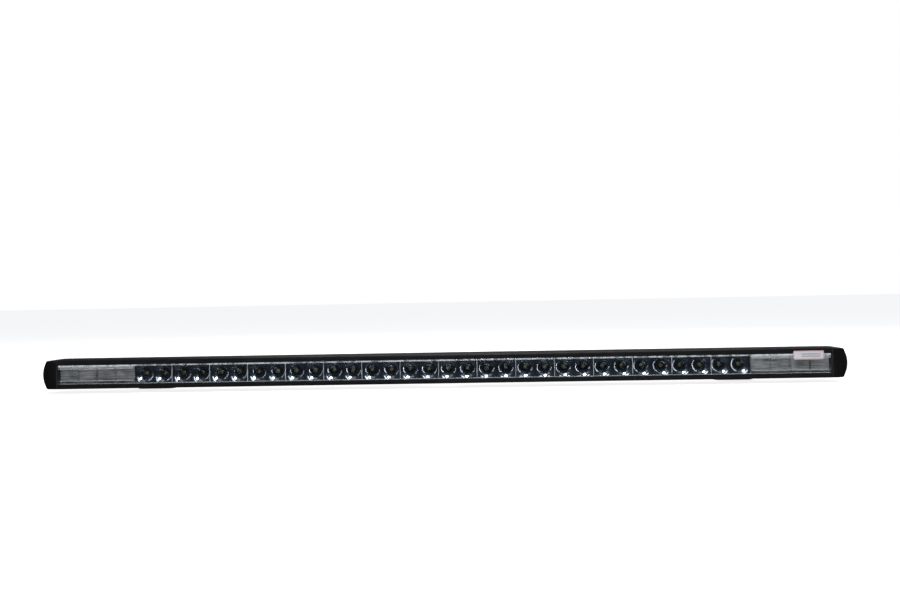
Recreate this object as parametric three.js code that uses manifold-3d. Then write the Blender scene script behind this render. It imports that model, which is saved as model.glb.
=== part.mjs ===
// A slim single-row LED light bar for trucks and trailers: an extruded housing with cooling fins and a
// rear T-slot, end caps, a clear lens, reflector modules over LED boards, a driver, and two feet that slide
// and tilt.
// Millimetres, +Z up, +X along the bar, and the light shines towards -Y.
// The origin is the middle of the whole object's footprint, on the plane that the feet stand on.
import * as THREE from "three";
import { mergeVertices } from "three/addons/utils/BufferGeometryUtils.js";
import Module from "manifold-3d";

const wasm = await Module();
wasm.setup();

// ---- Driving dimensions. Y counts from the bezel's front face backwards, Z from the bar's mid-height ----

const cellPitch = 25.4; // one reflector cell along the bar
const cellsPerModule = 2;
const clearModules = 16; // modules with a bare reflector, in the middle of the bar
const frostedModulesPerEnd = 2; // modules under a diffuser, at each end

const bodyHeight = 38;
const bodyDepth = 58;
const bezelHeight = 6.2; // the black band above and below the window
const endMargin = 2; // housing left over past the last module
const cornerRadius = 1.5; // the housing's long front edges
const gap = 0.3; // between pieces that rest on each other
const seal = 0.2; // what is left either side of a compressed seal

const lipThickness = 1.8; // the bezel's lips, which hold the lens
const lipChamfer = 0.6;
const grooveDepth = 2.3; // how far the lens groove goes in behind a lip
const lensFlange = 2.2;
const lensRise = 1.6; // how far the lens's face stands up from its flange
const lensBevel = 0.8;
const lensGasketThickness = 0.8;
const lensGasketCorner = 0.5;
const cavityOverWindow = 0.4; // the cavity is this much taller than the window, each way

const reflectorDepth = 16.6;
const reflectorWall = 0.7; // thinnest wall between a cell's mouth and the module's side
const bowlFocus = 2.8; // the bowls' focal length, with the LEDs' light-giving faces at the focus
const diffuserThickness = 3.4;
const diffuserRise = 1.8; // height of each cell's raised panel
const diffuserBevel = 3.4; // width of a panel's slope above and below
const diffuserSideBevel = 1.2; // and at its sides

const boardThickness = 1.4;
const boardEdgeGap = 0.4;
const ledWidth = 3.5;
const ledBase = 0.8;
const ledDomeRadius = 1.45;

const webThickness = 4; // the wall that the LED boards are bonded to
const tunnelDepth = 10; // the driver's tunnel behind it
const tunnelShoulder = 6.5; // housing above and below the tunnel
const tunnelCorner = 1;
const rearWall = 3.5;
const finThickness = 2;
const lowerFins = 4;

const slotBelowTop = 10.7; // the T-slot's middle, below the housing's top
const slotMouth = 5.8;
const slotWidth = 9;
const slotLip = 2.6;
const slotDepth = 5.4;
const slotWall = 1.8;

const capLength = 19.5;
const capBulge = 34; // radius of the caps' outward curve, seen from the front
const capFrontRadius = 6;
const capRearRadius = 7;
const capCornerRadius = 3;
const capPocketDepth = 7;
const capPocketWall = 4;
const capGasketThickness = 0.8;
const capGasketInset = 0.4; // from the housing's outline

const capScrewRadius = 1.4;
const capScrewHeadRadius = 2.5;
const capScrewHead = 2.2;
const capScrewSocket = 2; // across flats
const capScrewGrip = 14; // how far a cap screw goes into the housing
const capScrewSeat = 9; // the head's seat, out from a cap's inner face
const screwClearance = 0.3; // round every screw and bolt
const portInset = 3.6; // from the housing's top or bottom face to a screw port's middle
const portFrontDepth = 11;
const portRearDepth = 33;

const glandOffset = -16; // along the bar from its middle
const ventOffset = 16;
const fittingPocketWidth = 60; // of the pocket milled across the lower fins
const glandThreadRadius = 4.8;
const glandThreadInside = 1.5; // how far the thread comes through the rear wall
const glandHex = 14; // across flats
const glandBody = 6;
const glandNeck = 6; // the threaded neck that the cap goes on
const glandCapLength = 12;
const glandCapHex = 5; // length of the cap's six-sided part
const cableBore = 3.2; // radius
const ventRadius = 5.5;
const ventHeight = 4;
const ventStemRadius = 2.5;

const driverStart = 40; // the driver board's near end, from the bar's middle
const driverLength = 160;
const driverThickness = 1.6;
const driverEdgeGap = 0.8; // round the board in its tunnel
const terminalInset = 3; // the terminals, from the board's near end
const terminalSize = [10, 4.5, 8]; // along, off the board, and up
const inductorPlaces = [52, 120]; // component middles, from the board's near end
const inductorSize = [16, 5.3, 14];
const controllerPlace = 76;
const controllerSize = [12, 3, 8];
const capacitorPlaces = [24, 35, 92, 104];
const capacitorRadius = 3.6;
const capacitorHeight = 5.6;
const capacitorOffset = 5; // above and below the board's middle, in turn
const leadRadius = 1.5;
const webHoleRadius = 3;
const webHoleInset = 3.4; // from the cavity's floor up to the hole's middle

const footFromEnd = 110; // a foot's middle, from the housing's end
const footWidth = 52;
const footPlate = 3;
const footReach = 40; // the base plate, front to back
const footCorner = 8;
const footClearance = 3.8; // from the housing's underside, or a lower hinge, down to the base plate
const footAhead = 6; // the base plate's front edge, in front of the hinge
const footEar = 3; // thickness of each ear
const footEarFlare = 4; // how far an ear's back edge slopes out
const footSlotWidth = 8.5;
const footSlotLength = 24;
const footSlotInset = 11; // from the base plate's back edge to the slot's middle
const hingeBehind = 16; // the hinge's middle, from the housing's back
const hingeBelowScrew = 5.05; // from the clamp screw's head down to the hinge's eye
const hingeEyeRadius = 8;
const hingeBoltRadius = 4;
const hingeBoltHead = 5;
const hingeHex = 13;
const hingeNutHeight = 6.5;
const hingeBoltPastNut = 2;
const bracketPlate = 4;
const bracketWidth = 36;
const bracketCorner = 3;
const bracketShoulderGap = 1; // between the hinge's ears and the bracket's wide upper part
const lugWidth = 20;
const slotNutLength = 30;
const slotNutHeight = 4.2;
const clampScrewRadius = 2.5;
const clampScrewHeadRadius = 4.25;
const clampScrewHead = 5;
const clampScrewSocket = 4; // across flats
const clampScrewGrip = 4; // into the slot nut

const labelLength = 39;
const labelHeight = 11.4;
const labelThickness = 0.3;
const labelFromEnd = 9; // from the optics' right end
const labelBelowTop = 2.6; // from the housing's top
const labelCorner = 1.6;

// ---- Worked out from the driving dimensions ----

const moduleLength = cellPitch * cellsPerModule;
const moduleCount = clearModules + 2 * frostedModulesPerEnd;
const opticsLength = moduleLength * moduleCount;
const housingLength = opticsLength + 2 * endMargin;
const top = bodyHeight / 2;
const windowHalf = top - bezelHeight;
const cavityHalf = windowHalf + cavityOverWindow;
const grooveHalf = windowHalf + grooveDepth;
const lensFlangeFront = lipThickness + seal;
const lensBack = lensFlangeFront + lensFlange;
const lensGasketFront = lensBack + seal;
const grooveBack = lensGasketFront + lensGasketThickness + seal;
const mouth = lensBack + gap; // the front of the modules
const moduleBack = mouth + reflectorDepth;
const boardFront = moduleBack + gap;
const webFront = boardFront + boardThickness + seal;
const tunnelFront = webFront + webThickness;
const tunnelBack = tunnelFront + tunnelDepth;
const finRoot = tunnelBack + rearWall;
const emitter = boardFront - ledBase;
const tunnelHalf = top - tunnelShoulder;
const slotHeight = top - slotBelowTop;
const slotBlockHalf = slotWidth / 2 + slotWall;
const slotBlockBottom = slotHeight - slotBlockHalf;
const fittingHeight = (slotBlockBottom - top) / 2; // the gland and the vent, midway below the T-slot
const webHoleHeight = webHoleInset - cavityHalf;
const portHeight = top - portInset;
const capInner = housingLength / 2 + capGasketThickness + 2 * seal;
const hingeDepth = bodyDepth + hingeBehind;
const hingeHeight = slotHeight - clampScrewHeadRadius - hingeBelowScrew - hingeEyeRadius;
const footPlace = housingLength / 2 - footFromEnd;
const footTop = Math.min(-top, hingeHeight - hingeEyeRadius) - footClearance;
const footBottom = footTop - footPlate;
const footFront = hingeDepth - footAhead;
const footBack = footFront + footReach;
const earInside = lugWidth / 2 + gap;
const earOutside = earInside + footEar;

const arcSteps = 2; // a quarter circle has twice as many sides
const roundSides = 16;
const boltSides = 12;
const smallSides = 8;
const past = 2; // how far cutters reach past what they cut

// ---- Materials ----

const finish = (color, roughness, metalness) =>
  new THREE.MeshStandardMaterial({ color, roughness, metalness });
const materials = {
  anodised: finish(0x16171a, 0.45, 0.6),
  castBlack: finish(0x121214, 0.5, 0.2),
  clear: new THREE.MeshStandardMaterial({
    color: 0xe8eef2,
    roughness: 0.05,
    transparent: true,
    opacity: 0.25,
  }),
  chrome: finish(0xd8dce0, 0.06, 1),
  satin: finish(0xb4b6b8, 0.35, 0.9),
  frosted: finish(0x9da0a2, 0.55, 0),
  rubber: finish(0x0b0b0b, 0.85, 0),
  board: finish(0xe4e4de, 0.5, 0),
  greenBoard: finish(0x1d4a30, 0.5, 0),
  leadSheath: finish(0x1a1a1a, 0.6, 0),
  nylon: finish(0x141414, 0.55, 0),
  steel: finish(0xa7a9ab, 0.3, 1),
  blackSteel: finish(0x17181a, 0.55, 0.4),
  paper: finish(0xf0ecec, 0.6, 0),
};

// ---- Solids ----

// A closed BufferGeometry as a solid that can be joined and cut.
function solidOf(geometry) {
  const bare = geometry.clone();
  for (const name of Object.keys(bare.attributes)) if (name !== "position") bare.deleteAttribute(name);
  const merged = mergeVertices(bare, 1e-4);
  return new wasm.Manifold(
    new wasm.Mesh({
      numProp: 3,
      vertProperties: new Float32Array(merged.attributes.position.array),
      triVerts: new Uint32Array(merged.index.array),
    }),
  );
}

// A solid as a BufferGeometry.
function geometryOf(solid) {
  const mesh = solid.getMesh();
  const positions = new Float32Array(mesh.numVert * 3);
  for (let i = 0; i < mesh.numVert; i++)
    positions.set(mesh.vertProperties.subarray(i * mesh.numProp, i * mesh.numProp + 3), i * 3);
  return new THREE.BufferGeometry()
    .setAttribute("position", new THREE.BufferAttribute(positions, 3))
    .setIndex(new THREE.BufferAttribute(new Uint32Array(mesh.triVerts), 1));
}

const joined = (solids) => solids.reduce((all, next) => all.add(next));
const cutBy = (solid, cutters) => cutters.reduce((left, cutter) => left.subtract(cutter), solid);

// An outline drawn in (y, z), drawn out along X from x0 to x1.
function alongX(shape, x0, x1) {
  const basis = new THREE.Matrix4().makeBasis(
    new THREE.Vector3(0, 1, 0),
    new THREE.Vector3(0, 0, 1),
    new THREE.Vector3(1, 0, 0),
  );
  const options = { depth: x1 - x0, bevelEnabled: false, curveSegments: arcSteps };
  return new THREE.ExtrudeGeometry(shape, options).applyMatrix4(basis).translate(x0, 0, 0);
}

// An outline drawn in (x, z), drawn out along Y from y0 to y1.
function alongY(shape, y0, y1) {
  const basis = new THREE.Matrix4().makeBasis(
    new THREE.Vector3(1, 0, 0),
    new THREE.Vector3(0, 0, 1),
    new THREE.Vector3(0, -1, 0),
  );
  const options = { depth: y1 - y0, bevelEnabled: false, curveSegments: arcSteps };
  return new THREE.ExtrudeGeometry(shape, options).applyMatrix4(basis).translate(0, y1, 0);
}

// An outline drawn in (x, y), drawn out along Z from z0 to z1.
function alongZ(shape, z0, z1) {
  const options = { depth: z1 - z0, bevelEnabled: false, curveSegments: arcSteps };
  return new THREE.ExtrudeGeometry(shape, options).translate(0, 0, z0);
}

// A box between two corners.
function block(x0, x1, y0, y1, z0, z1) {
  const box = new THREE.BoxGeometry(x1 - x0, y1 - y0, z1 - z0);
  return box.translate((x0 + x1) / 2, (y0 + y1) / 2, (z0 + z1) / 2);
}

// A round bar along an axis, from one end's place to the other's.
function rod(radius, from, to, axis, sides = roundSides) {
  const cylinder = new THREE.CylinderGeometry(radius, radius, to - from, sides);
  return placedOn(axis, cylinder.translate(0, (from + to) / 2, 0));
}

// A hexagon bar along an axis, by its width across flats, with flats above and below.
function hexBar(acrossFlats, from, to, axis) {
  const toCorner = acrossFlats / Math.sqrt(3);
  const hexagon = new THREE.CylinderGeometry(toCorner, toCorner, to - from, 6);
  return placedOn(axis, hexagon.rotateY(axis === "y" ? Math.PI / 6 : 0).translate(0, (from + to) / 2, 0));
}

// Turns what is modelled along Y so that it lies along the named axis.
function placedOn(axis, geometry) {
  if (axis === "x") return geometry.rotateZ(-Math.PI / 2);
  if (axis === "z") return geometry.rotateX(Math.PI / 2);
  return geometry;
}

// A rectangle with round corners, as an outline or a hole.
function roundedRectangle(u0, u1, v0, v1, radius, Kind = THREE.Shape) {
  const outline = new Kind();
  outline.moveTo(u0 + radius, v0);
  outline.lineTo(u1 - radius, v0);
  outline.absarc(u1 - radius, v0 + radius, radius, -Math.PI / 2, 0);
  outline.lineTo(u1, v1 - radius);
  outline.absarc(u1 - radius, v1 - radius, radius, 0, Math.PI / 2);
  outline.lineTo(u0 + radius, v1);
  outline.absarc(u0 + radius, v1 - radius, radius, Math.PI / 2, Math.PI);
  outline.lineTo(u0, v0 + radius);
  outline.absarc(u0 + radius, v0 + radius, radius, Math.PI, Math.PI * 1.5);
  return outline;
}

// A round hole, drawn as quarter circles.
function roundHole(u, v, radius) {
  const hole = new THREE.Path();
  for (let quarter = 4; quarter > 0; quarter--)
    hole.absarc(u, v, radius, (quarter * Math.PI) / 2, ((quarter - 1) * Math.PI) / 2, true);
  return hole;
}

// ---- The scene graph ----

const lightBar = new THREE.Group();
const bar = new THREE.Group(); // everything in the bar's own frame: front face at y 0, mid-height at z 0
lightBar.add(bar);

function addPiece(name, shape, material, place = [0, 0, 0], parent = bar) {
  const geometry = shape.isBufferGeometry ? shape : geometryOf(shape);
  const mesh = new THREE.Mesh(geometry, material);
  mesh.name = name;
  mesh.position.set(...place);
  parent.add(mesh);
}

// ---- Housing ----

// The four screw ports, as [depth, height].
const screwPorts = [portFrontDepth, portRearDepth].flatMap((y) => [
  [y, -portHeight],
  [y, portHeight],
]);

// The driver's tunnel, as a hole in an outline.
function tunnelHole() {
  return roundedRectangle(tunnelFront, tunnelBack, -tunnelHalf, tunnelHalf, tunnelCorner, THREE.Path);
}

// The upright spaces between the fins, as pairs of heights from the bottom up.
function finGaps() {
  const pitch = (slotBlockBottom + top) / lowerFins;
  const gaps = [];
  for (let i = 0; i < lowerFins; i++)
    gaps.push([-top + i * pitch + finThickness, -top + (i + 1) * pitch]);
  gaps.push([slotHeight + slotBlockHalf, top - finThickness]);
  return gaps;
}

function housingOutline() {
  const outline = new THREE.Shape();
  outline.moveTo(0, -top + cornerRadius);
  outline.absarc(cornerRadius, -top + cornerRadius, cornerRadius, Math.PI, Math.PI * 1.5);
  outline.lineTo(bodyDepth, -top);
  const gaps = finGaps();
  const notch = ([low, high]) => {
    outline.lineTo(bodyDepth, low);
    outline.lineTo(finRoot, low);
    outline.lineTo(finRoot, high);
    outline.lineTo(bodyDepth, high);
  };
  gaps.slice(0, -1).forEach(notch);
  const slotFloor = bodyDepth - slotLip - slotDepth;
  outline.lineTo(bodyDepth, slotHeight - slotMouth / 2);
  outline.lineTo(bodyDepth - slotLip, slotHeight - slotMouth / 2);
  outline.lineTo(bodyDepth - slotLip, slotHeight - slotWidth / 2);
  outline.lineTo(slotFloor, slotHeight - slotWidth / 2);
  outline.lineTo(slotFloor, slotHeight + slotWidth / 2);
  outline.lineTo(bodyDepth - slotLip, slotHeight + slotWidth / 2);
  outline.lineTo(bodyDepth - slotLip, slotHeight + slotMouth / 2);
  outline.lineTo(bodyDepth, slotHeight + slotMouth / 2);
  gaps.slice(-1).forEach(notch);
  outline.lineTo(bodyDepth, top);
  outline.lineTo(cornerRadius, top);
  outline.absarc(cornerRadius, top - cornerRadius, cornerRadius, Math.PI / 2, Math.PI);
  for (const side of [1, -1]) {
    const inward = [
      [0, windowHalf + lipChamfer],
      [lipChamfer, windowHalf],
      [lipThickness, windowHalf],
      [lipThickness, grooveHalf],
      [grooveBack, grooveHalf],
      [grooveBack, cavityHalf],
      [webFront, cavityHalf],
    ];
    const corners = side > 0 ? inward : inward.reverse();
    for (const [y, z] of corners) outline.lineTo(y, side * z);
  }
  outline.closePath();
  outline.holes.push(tunnelHole());
  for (const [y, z] of screwPorts) outline.holes.push(roundHole(y, z, capScrewRadius + screwClearance));
  return outline;
}

function housing() {
  const extrusion = solidOf(alongX(housingOutline(), -housingLength / 2, housingLength / 2));
  const halfPocket = fittingPocketWidth / 2;
  const fittingHole = (radius) => rod(radius + screwClearance, tunnelBack - past, finRoot + past, "y");
  return cutBy(
    extrusion,
    [
      block(-halfPocket, halfPocket, finRoot, bodyDepth + past, -top - past, slotBlockBottom),
      fittingHole(glandThreadRadius).translate(glandOffset, 0, fittingHeight),
      fittingHole(ventStemRadius).translate(ventOffset, 0, fittingHeight),
      rod(webHoleRadius, webFront - past, tunnelFront + past, "y").translate(0, 0, webHoleHeight),
    ].map(solidOf),
  );
}

addPiece("housing", housing(), materials.anodised);

// ---- Lens and its gasket ----

function lensOutline() {
  const flangeHalf = grooveHalf - seal;
  const faceHalf = windowHalf - seal;
  const face = lensFlangeFront - lensRise;
  const outline = new THREE.Shape();
  outline.moveTo(lensBack, -flangeHalf);
  outline.lineTo(lensBack, flangeHalf);
  outline.lineTo(lensFlangeFront, flangeHalf);
  outline.lineTo(lensFlangeFront, faceHalf);
  outline.lineTo(face + lensBevel, faceHalf);
  outline.absarc(face + lensBevel, faceHalf - lensBevel, lensBevel, Math.PI / 2, Math.PI);
  outline.lineTo(face, -faceHalf + lensBevel);
  outline.absarc(face + lensBevel, -faceHalf + lensBevel, lensBevel, Math.PI, Math.PI * 1.5);
  outline.lineTo(lensFlangeFront, -faceHalf);
  outline.lineTo(lensFlangeFront, -flangeHalf);
  outline.closePath();
  return outline;
}

function lensGasket() {
  const outer = grooveHalf - seal;
  const frame = new THREE.Shape();
  frame.moveTo(-housingLength / 2, -outer);
  frame.lineTo(housingLength / 2, -outer);
  frame.lineTo(housingLength / 2, outer);
  frame.lineTo(-housingLength / 2, outer);
  frame.closePath();
  const half = opticsLength / 2;
  frame.holes.push(roundedRectangle(-half, half, -cavityHalf, cavityHalf, lensGasketCorner, THREE.Path));
  return alongY(frame, lensGasketFront, lensGasketFront + lensGasketThickness);
}

addPiece("lens", alongX(lensOutline(), -housingLength / 2, housingLength / 2), materials.clear);
addPiece("lens_gasket", lensGasket(), materials.rubber);

// ---- Reflector modules and diffusers ----

// A bowl's hollow: a paraboloid about Y with the LED at its focus, clipped to its cell.
function bowlHollow(cellMiddle, front, halfHeight) {
  const over = 0.5;
  const rings = 3;
  const start = front - over;
  const end = moduleBack + over;
  const profile = [new THREE.Vector2(0, start)];
  for (let i = 0; i <= rings; i++) {
    const y = start + (end - start) * (1 - (1 - i / rings) ** 2);
    profile.push(new THREE.Vector2(Math.sqrt(4 * bowlFocus * (emitter + bowlFocus - y)), y));
  }
  profile.push(new THREE.Vector2(0, end));
  const bowl = solidOf(new THREE.LatheGeometry(profile, boltSides)).translate([cellMiddle, 0, 0]);
  const halfCell = cellPitch / 2 - reflectorWall;
  const cell = block(
    cellMiddle - halfCell,
    cellMiddle + halfCell,
    front - past,
    moduleBack + past,
    -halfHeight,
    halfHeight,
  );
  return bowl.intersect(solidOf(cell));
}

function cellMiddles() {
  return Array.from({ length: cellsPerModule }, (_, i) => (i + 0.5 - cellsPerModule / 2) * cellPitch);
}

function reflectorModule(front) {
  const half = (moduleLength - gap) / 2;
  const halfHeight = cavityHalf - gap;
  const body = solidOf(block(-half, half, front, moduleBack, -halfHeight, halfHeight));
  return cutBy(
    body,
    cellMiddles().map((x) => bowlHollow(x, front, halfHeight - reflectorWall)),
  );
}

// A diffuser: a plate with one raised panel for each cell, sloped at its edges.
function diffuser() {
  const half = (moduleLength - gap) / 2;
  const halfHeight = cavityHalf - gap;
  const back = mouth + diffuserThickness;
  const plateFront = mouth + diffuserRise;
  const panelHalf = cellPitch / 2 - gap;
  const panelAt = (x) => {
    // A cone frustum with four sides, turned square and stretched to the panel's size.
    const rise = plateFront + gap - mouth;
    const panel = new THREE.CylinderGeometry(Math.SQRT1_2, Math.SQRT1_2, rise, 4).rotateY(Math.PI / 4);
    const corners = panel.attributes.position;
    for (let i = 0; i < corners.count; i++) {
      const raised = corners.getY(i) < 0;
      corners.setX(i, x + corners.getX(i) * 2 * (panelHalf - (raised ? diffuserSideBevel : 0)));
      corners.setZ(i, corners.getZ(i) * 2 * (halfHeight - (raised ? diffuserBevel : 0)));
      corners.setY(i, raised ? mouth : plateFront + gap);
    }
    return solidOf(panel);
  };
  const plate = solidOf(block(-half, half, plateFront, back, -halfHeight, halfHeight));
  return joined([plate, ...cellMiddles().map(panelAt)]);
}

const clearReflector = reflectorModule(mouth);
const frostedReflector = reflectorModule(mouth + diffuserThickness + gap);
const diffuserPlate = diffuser();
for (let i = 0; i < moduleCount; i++) {
  const place = [(i + 0.5 - moduleCount / 2) * moduleLength, 0, 0];
  const frosted = i < frostedModulesPerEnd || i >= moduleCount - frostedModulesPerEnd;
  const number = String(i + 1).padStart(2, "0");
  addPiece(
    `reflector_${number}`,
    frosted ? frostedReflector : clearReflector,
    frosted ? materials.satin : materials.chrome,
    place,
  );
  if (frosted) addPiece(`diffuser_${number}`, diffuserPlate, materials.frosted, place);
}

// ---- LED boards: each carries the LEDs of half the bar ----

function ledAt(x) {
  const base = block(
    x - ledWidth / 2,
    x + ledWidth / 2,
    emitter,
    boardFront + seal,
    -ledWidth / 2,
    ledWidth / 2,
  );
  const profile = [new THREE.Vector2(0, -seal), new THREE.Vector2(ledDomeRadius, -seal)];
  profile.push(new THREE.Vector2(ledDomeRadius, 0));
  profile.push(new THREE.Vector2(ledDomeRadius * Math.SQRT1_2, ledDomeRadius * Math.SQRT1_2));
  profile.push(new THREE.Vector2(0, ledDomeRadius));
  const dome = new THREE.LatheGeometry(profile, 6).rotateX(Math.PI).translate(x, emitter, 0);
  return solidOf(base).add(solidOf(dome));
}

// side is -1 for the left board and 1 for the right one.
function ledBoard(side) {
  const length = (opticsLength - gap) / 2;
  const near = gap / 2;
  const ends = [side * near, side * length].sort((a, b) => a - b);
  const halfHeight = cavityHalf - boardEdgeGap;
  const plate = solidOf(block(...ends, boardFront, boardFront + boardThickness, -halfHeight, halfHeight));
  const notch = rod(webHoleRadius, boardFront - past, boardFront + boardThickness + past, "y");
  const leds = [];
  const count = (moduleCount * cellsPerModule) / 2;
  for (let i = 0; i < count; i++) leds.push(ledAt(side * (i + 0.5) * cellPitch));
  return joined([plate.subtract(solidOf(notch.translate(0, 0, webHoleHeight))), ...leds]);
}

addPiece("left_led_board", ledBoard(-1), materials.board);
addPiece("right_led_board", ledBoard(1), materials.board);

// ---- End caps, their gaskets and screws ----

// The cap seen from the front: straight where it meets the housing, and bowed outwards.
function capFrontOutline() {
  const half = top;
  const reach = capLength;
  const bow = capBulge - Math.sqrt(capBulge ** 2 - half ** 2);
  const outline = new THREE.Shape();
  outline.moveTo(0, -half);
  outline.lineTo(reach - bow - capCornerRadius, -half);
  outline.quadraticCurveTo(reach - bow, -half, ...pointOnBow(-half + capCornerRadius));
  const steps = 8;
  for (let i = 1; i < steps; i++)
    outline.lineTo(...pointOnBow(-half + capCornerRadius + ((2 * half - 2 * capCornerRadius) * i) / steps));
  outline.lineTo(...pointOnBow(half - capCornerRadius));
  outline.quadraticCurveTo(reach - bow, half, reach - bow - capCornerRadius, half);
  outline.lineTo(0, half);
  outline.closePath();
  return outline;
}

// The point of the caps' outward curve at a height, as [distance from the inner face, height].
function pointOnBow(z) {
  return [capLength - capBulge + Math.sqrt(capBulge ** 2 - z ** 2), z];
}

// The cap seen from above, with its front and rear edges rounded.
function capPlanOutline() {
  const outline = new THREE.Shape();
  outline.moveTo(0, 0);
  outline.lineTo(capLength - capFrontRadius, 0);
  outline.absarc(capLength - capFrontRadius, capFrontRadius, capFrontRadius, -Math.PI / 2, 0);
  outline.lineTo(capLength, bodyDepth - capRearRadius);
  outline.absarc(capLength - capRearRadius, bodyDepth - capRearRadius, capRearRadius, 0, Math.PI / 2);
  outline.lineTo(0, bodyDepth);
  outline.closePath();
  return outline;
}

// The right-hand cap, with its inner face at x 0.
function endCap() {
  const section = roundedRectangle(0, bodyDepth, -top, top, cornerRadius);
  const body = solidOf(alongX(section, 0, capLength + past))
    .intersect(solidOf(alongY(capFrontOutline(), -past, bodyDepth + past)))
    .intersect(solidOf(alongZ(capPlanOutline(), -top - past, top + past)));
  const pocketHalf = portHeight - capScrewRadius - screwClearance - capPocketWall / 2;
  const pocketFront = capPocketWall + lipThickness;
  const pocket = block(-past, capPocketDepth, pocketFront, tunnelBack, -pocketHalf, pocketHalf);
  const bores = screwPorts.flatMap(([y, z]) => [
    rod(capScrewRadius + screwClearance, -past, capScrewSeat + past, "x", smallSides).translate(0, y, z),
    rod(capScrewHeadRadius + screwClearance, capScrewSeat, capLength + past, "x").translate(0, y, z),
  ]);
  return cutBy(body, [pocket, ...bores].map(solidOf));
}

function capGasket() {
  const inset = capGasketInset;
  const outline = roundedRectangle(inset, bodyDepth - inset, -top + inset, top - inset, cornerRadius);
  outline.holes.push(tunnelHole());
  for (const [y, z] of screwPorts) outline.holes.push(roundHole(y, z, capScrewRadius + screwClearance));
  return alongX(outline, 0, capGasketThickness);
}

// A cap screw along X, its seat at x 0 and its head outwards, with a six-sided socket.
function capScrew() {
  const reach = capScrewSeat + capGasketThickness + 2 * seal + capScrewGrip;
  return joined([
    solidOf(rod(capScrewHeadRadius, gap, capScrewHead, "x", boltSides)),
    solidOf(rod(capScrewRadius, -reach, capScrewHead / 2, "x", smallSides)),
  ]).subtract(solidOf(hexBar(capScrewSocket, capScrewHead / 2, capScrewHead + past, "x")));
}

const cap = endCap();
const capGasketPlate = capGasket();
const capScrewSolid = capScrew();
for (const [side, sign] of [
  ["left", -1],
  ["right", 1],
]) {
  const end = new THREE.Group();
  if (sign < 0) end.scale.set(-1, 1, 1);
  bar.add(end);
  addPiece(`${side}_end_cap`, cap, materials.castBlack, [capInner, 0, 0], end);
  addPiece(`${side}_cap_gasket`, capGasketPlate, materials.rubber, [housingLength / 2 + seal, 0, 0], end);
  screwPorts.forEach(([y, z], i) => {
    const seat = [capInner + capScrewSeat, y, z];
    addPiece(`${side}_cap_screw_${i + 1}`, capScrewSolid, materials.steel, seat, end);
  });
}

// ---- Driver board and the leads inside the housing ----

const driverHeight = 2 * (tunnelHalf - driverEdgeGap);
const driverBack = tunnelBack - driverEdgeGap;
const driverFront = driverBack - driverThickness;
const terminalHeight = driverHeight / 2 - terminalSize[2] / 2;

// A component on the board's front, by its middle's place from the board's near end and its height.
function componentAt(place, height, [length, rise, up]) {
  const body = block(-length / 2, length / 2, driverFront - rise, driverFront + seal, -up / 2, up / 2);
  return body.translate(driverStart + place, 0, height);
}

function driverBoard() {
  const half = driverHeight / 2;
  const terminalPlace = terminalInset + terminalSize[0] / 2;
  const capacitor = (place, i) =>
    rod(capacitorRadius, driverFront - capacitorHeight, driverFront + seal, "y", smallSides).translate(
      driverStart + place,
      0,
      i % 2 ? capacitorOffset : -capacitorOffset,
    );
  const parts = [
    block(driverStart, driverStart + driverLength, driverFront, driverBack, -half, half),
    componentAt(terminalPlace, terminalHeight, terminalSize),
    componentAt(terminalPlace, -terminalHeight, terminalSize),
    componentAt(controllerPlace, 0, controllerSize),
    ...inductorPlaces.map((place) => componentAt(place, 0, inductorSize)),
    ...capacitorPlaces.map(capacitor),
  ];
  return joined(parts.map(solidOf));
}

// A lead along hand-placed points.
function lead(points) {
  const section = new THREE.Shape();
  section.absarc(0, 0, leadRadius, 0, Math.PI);
  section.absarc(0, 0, leadRadius, Math.PI, Math.PI * 2);
  const path = new THREE.CatmullRomCurve3(points.map((p) => new THREE.Vector3(...p)));
  const options = { steps: 14, extrudePath: path, bevelEnabled: false, curveSegments: arcSteps };
  return new THREE.ExtrudeGeometry(section, options);
}

const leadDepth = tunnelFront + 4;
const leadEntry = Math.max(fittingHeight, leadRadius + gap - tunnelHalf); // clear of the tunnel's floor
const terminalDepth = driverFront - terminalSize[1] / 2;
const terminalFace = driverStart + terminalInset - gap;
addPiece("driver_board", driverBoard(), materials.greenBoard);
addPiece(
  "supply_lead",
  lead([
    [glandOffset, tunnelBack - glandThreadInside - gap, leadEntry],
    [glandOffset + 1, leadDepth + 1.6, leadEntry + 1],
    [glandOffset + 9, leadDepth, leadEntry + 6],
    [glandOffset + 24, leadDepth, terminalHeight - 1],
    [terminalFace - 16, terminalDepth, terminalHeight],
    [terminalFace, terminalDepth, terminalHeight],
  ]),
  materials.leadSheath,
);
addPiece(
  "led_lead",
  lead([
    [0, boardFront + gap, webHoleHeight],
    [0, tunnelFront - 1, webHoleHeight],
    [1.5, leadDepth - 1, webHoleHeight],
    [8, leadDepth, webHoleHeight + 0.5],
    [terminalFace - 16, terminalDepth, -terminalHeight],
    [terminalFace, terminalDepth, -terminalHeight],
  ]),
  materials.leadSheath,
);

// ---- Cable gland and breather vent, in the pocket milled across the lower fins ----

const glandFront = finRoot + gap;
const glandCapFront = glandFront + glandBody + gap;

function glandBodyPiece() {
  const inner = tunnelBack - glandThreadInside;
  const outer = glandFront + glandBody + glandNeck;
  return joined([
    solidOf(hexBar(glandHex, glandFront, glandFront + glandBody, "y")),
    solidOf(rod(glandThreadRadius, inner, outer, "y")),
  ]).subtract(solidOf(rod(cableBore, inner - past, outer + past, "y")));
}

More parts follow.
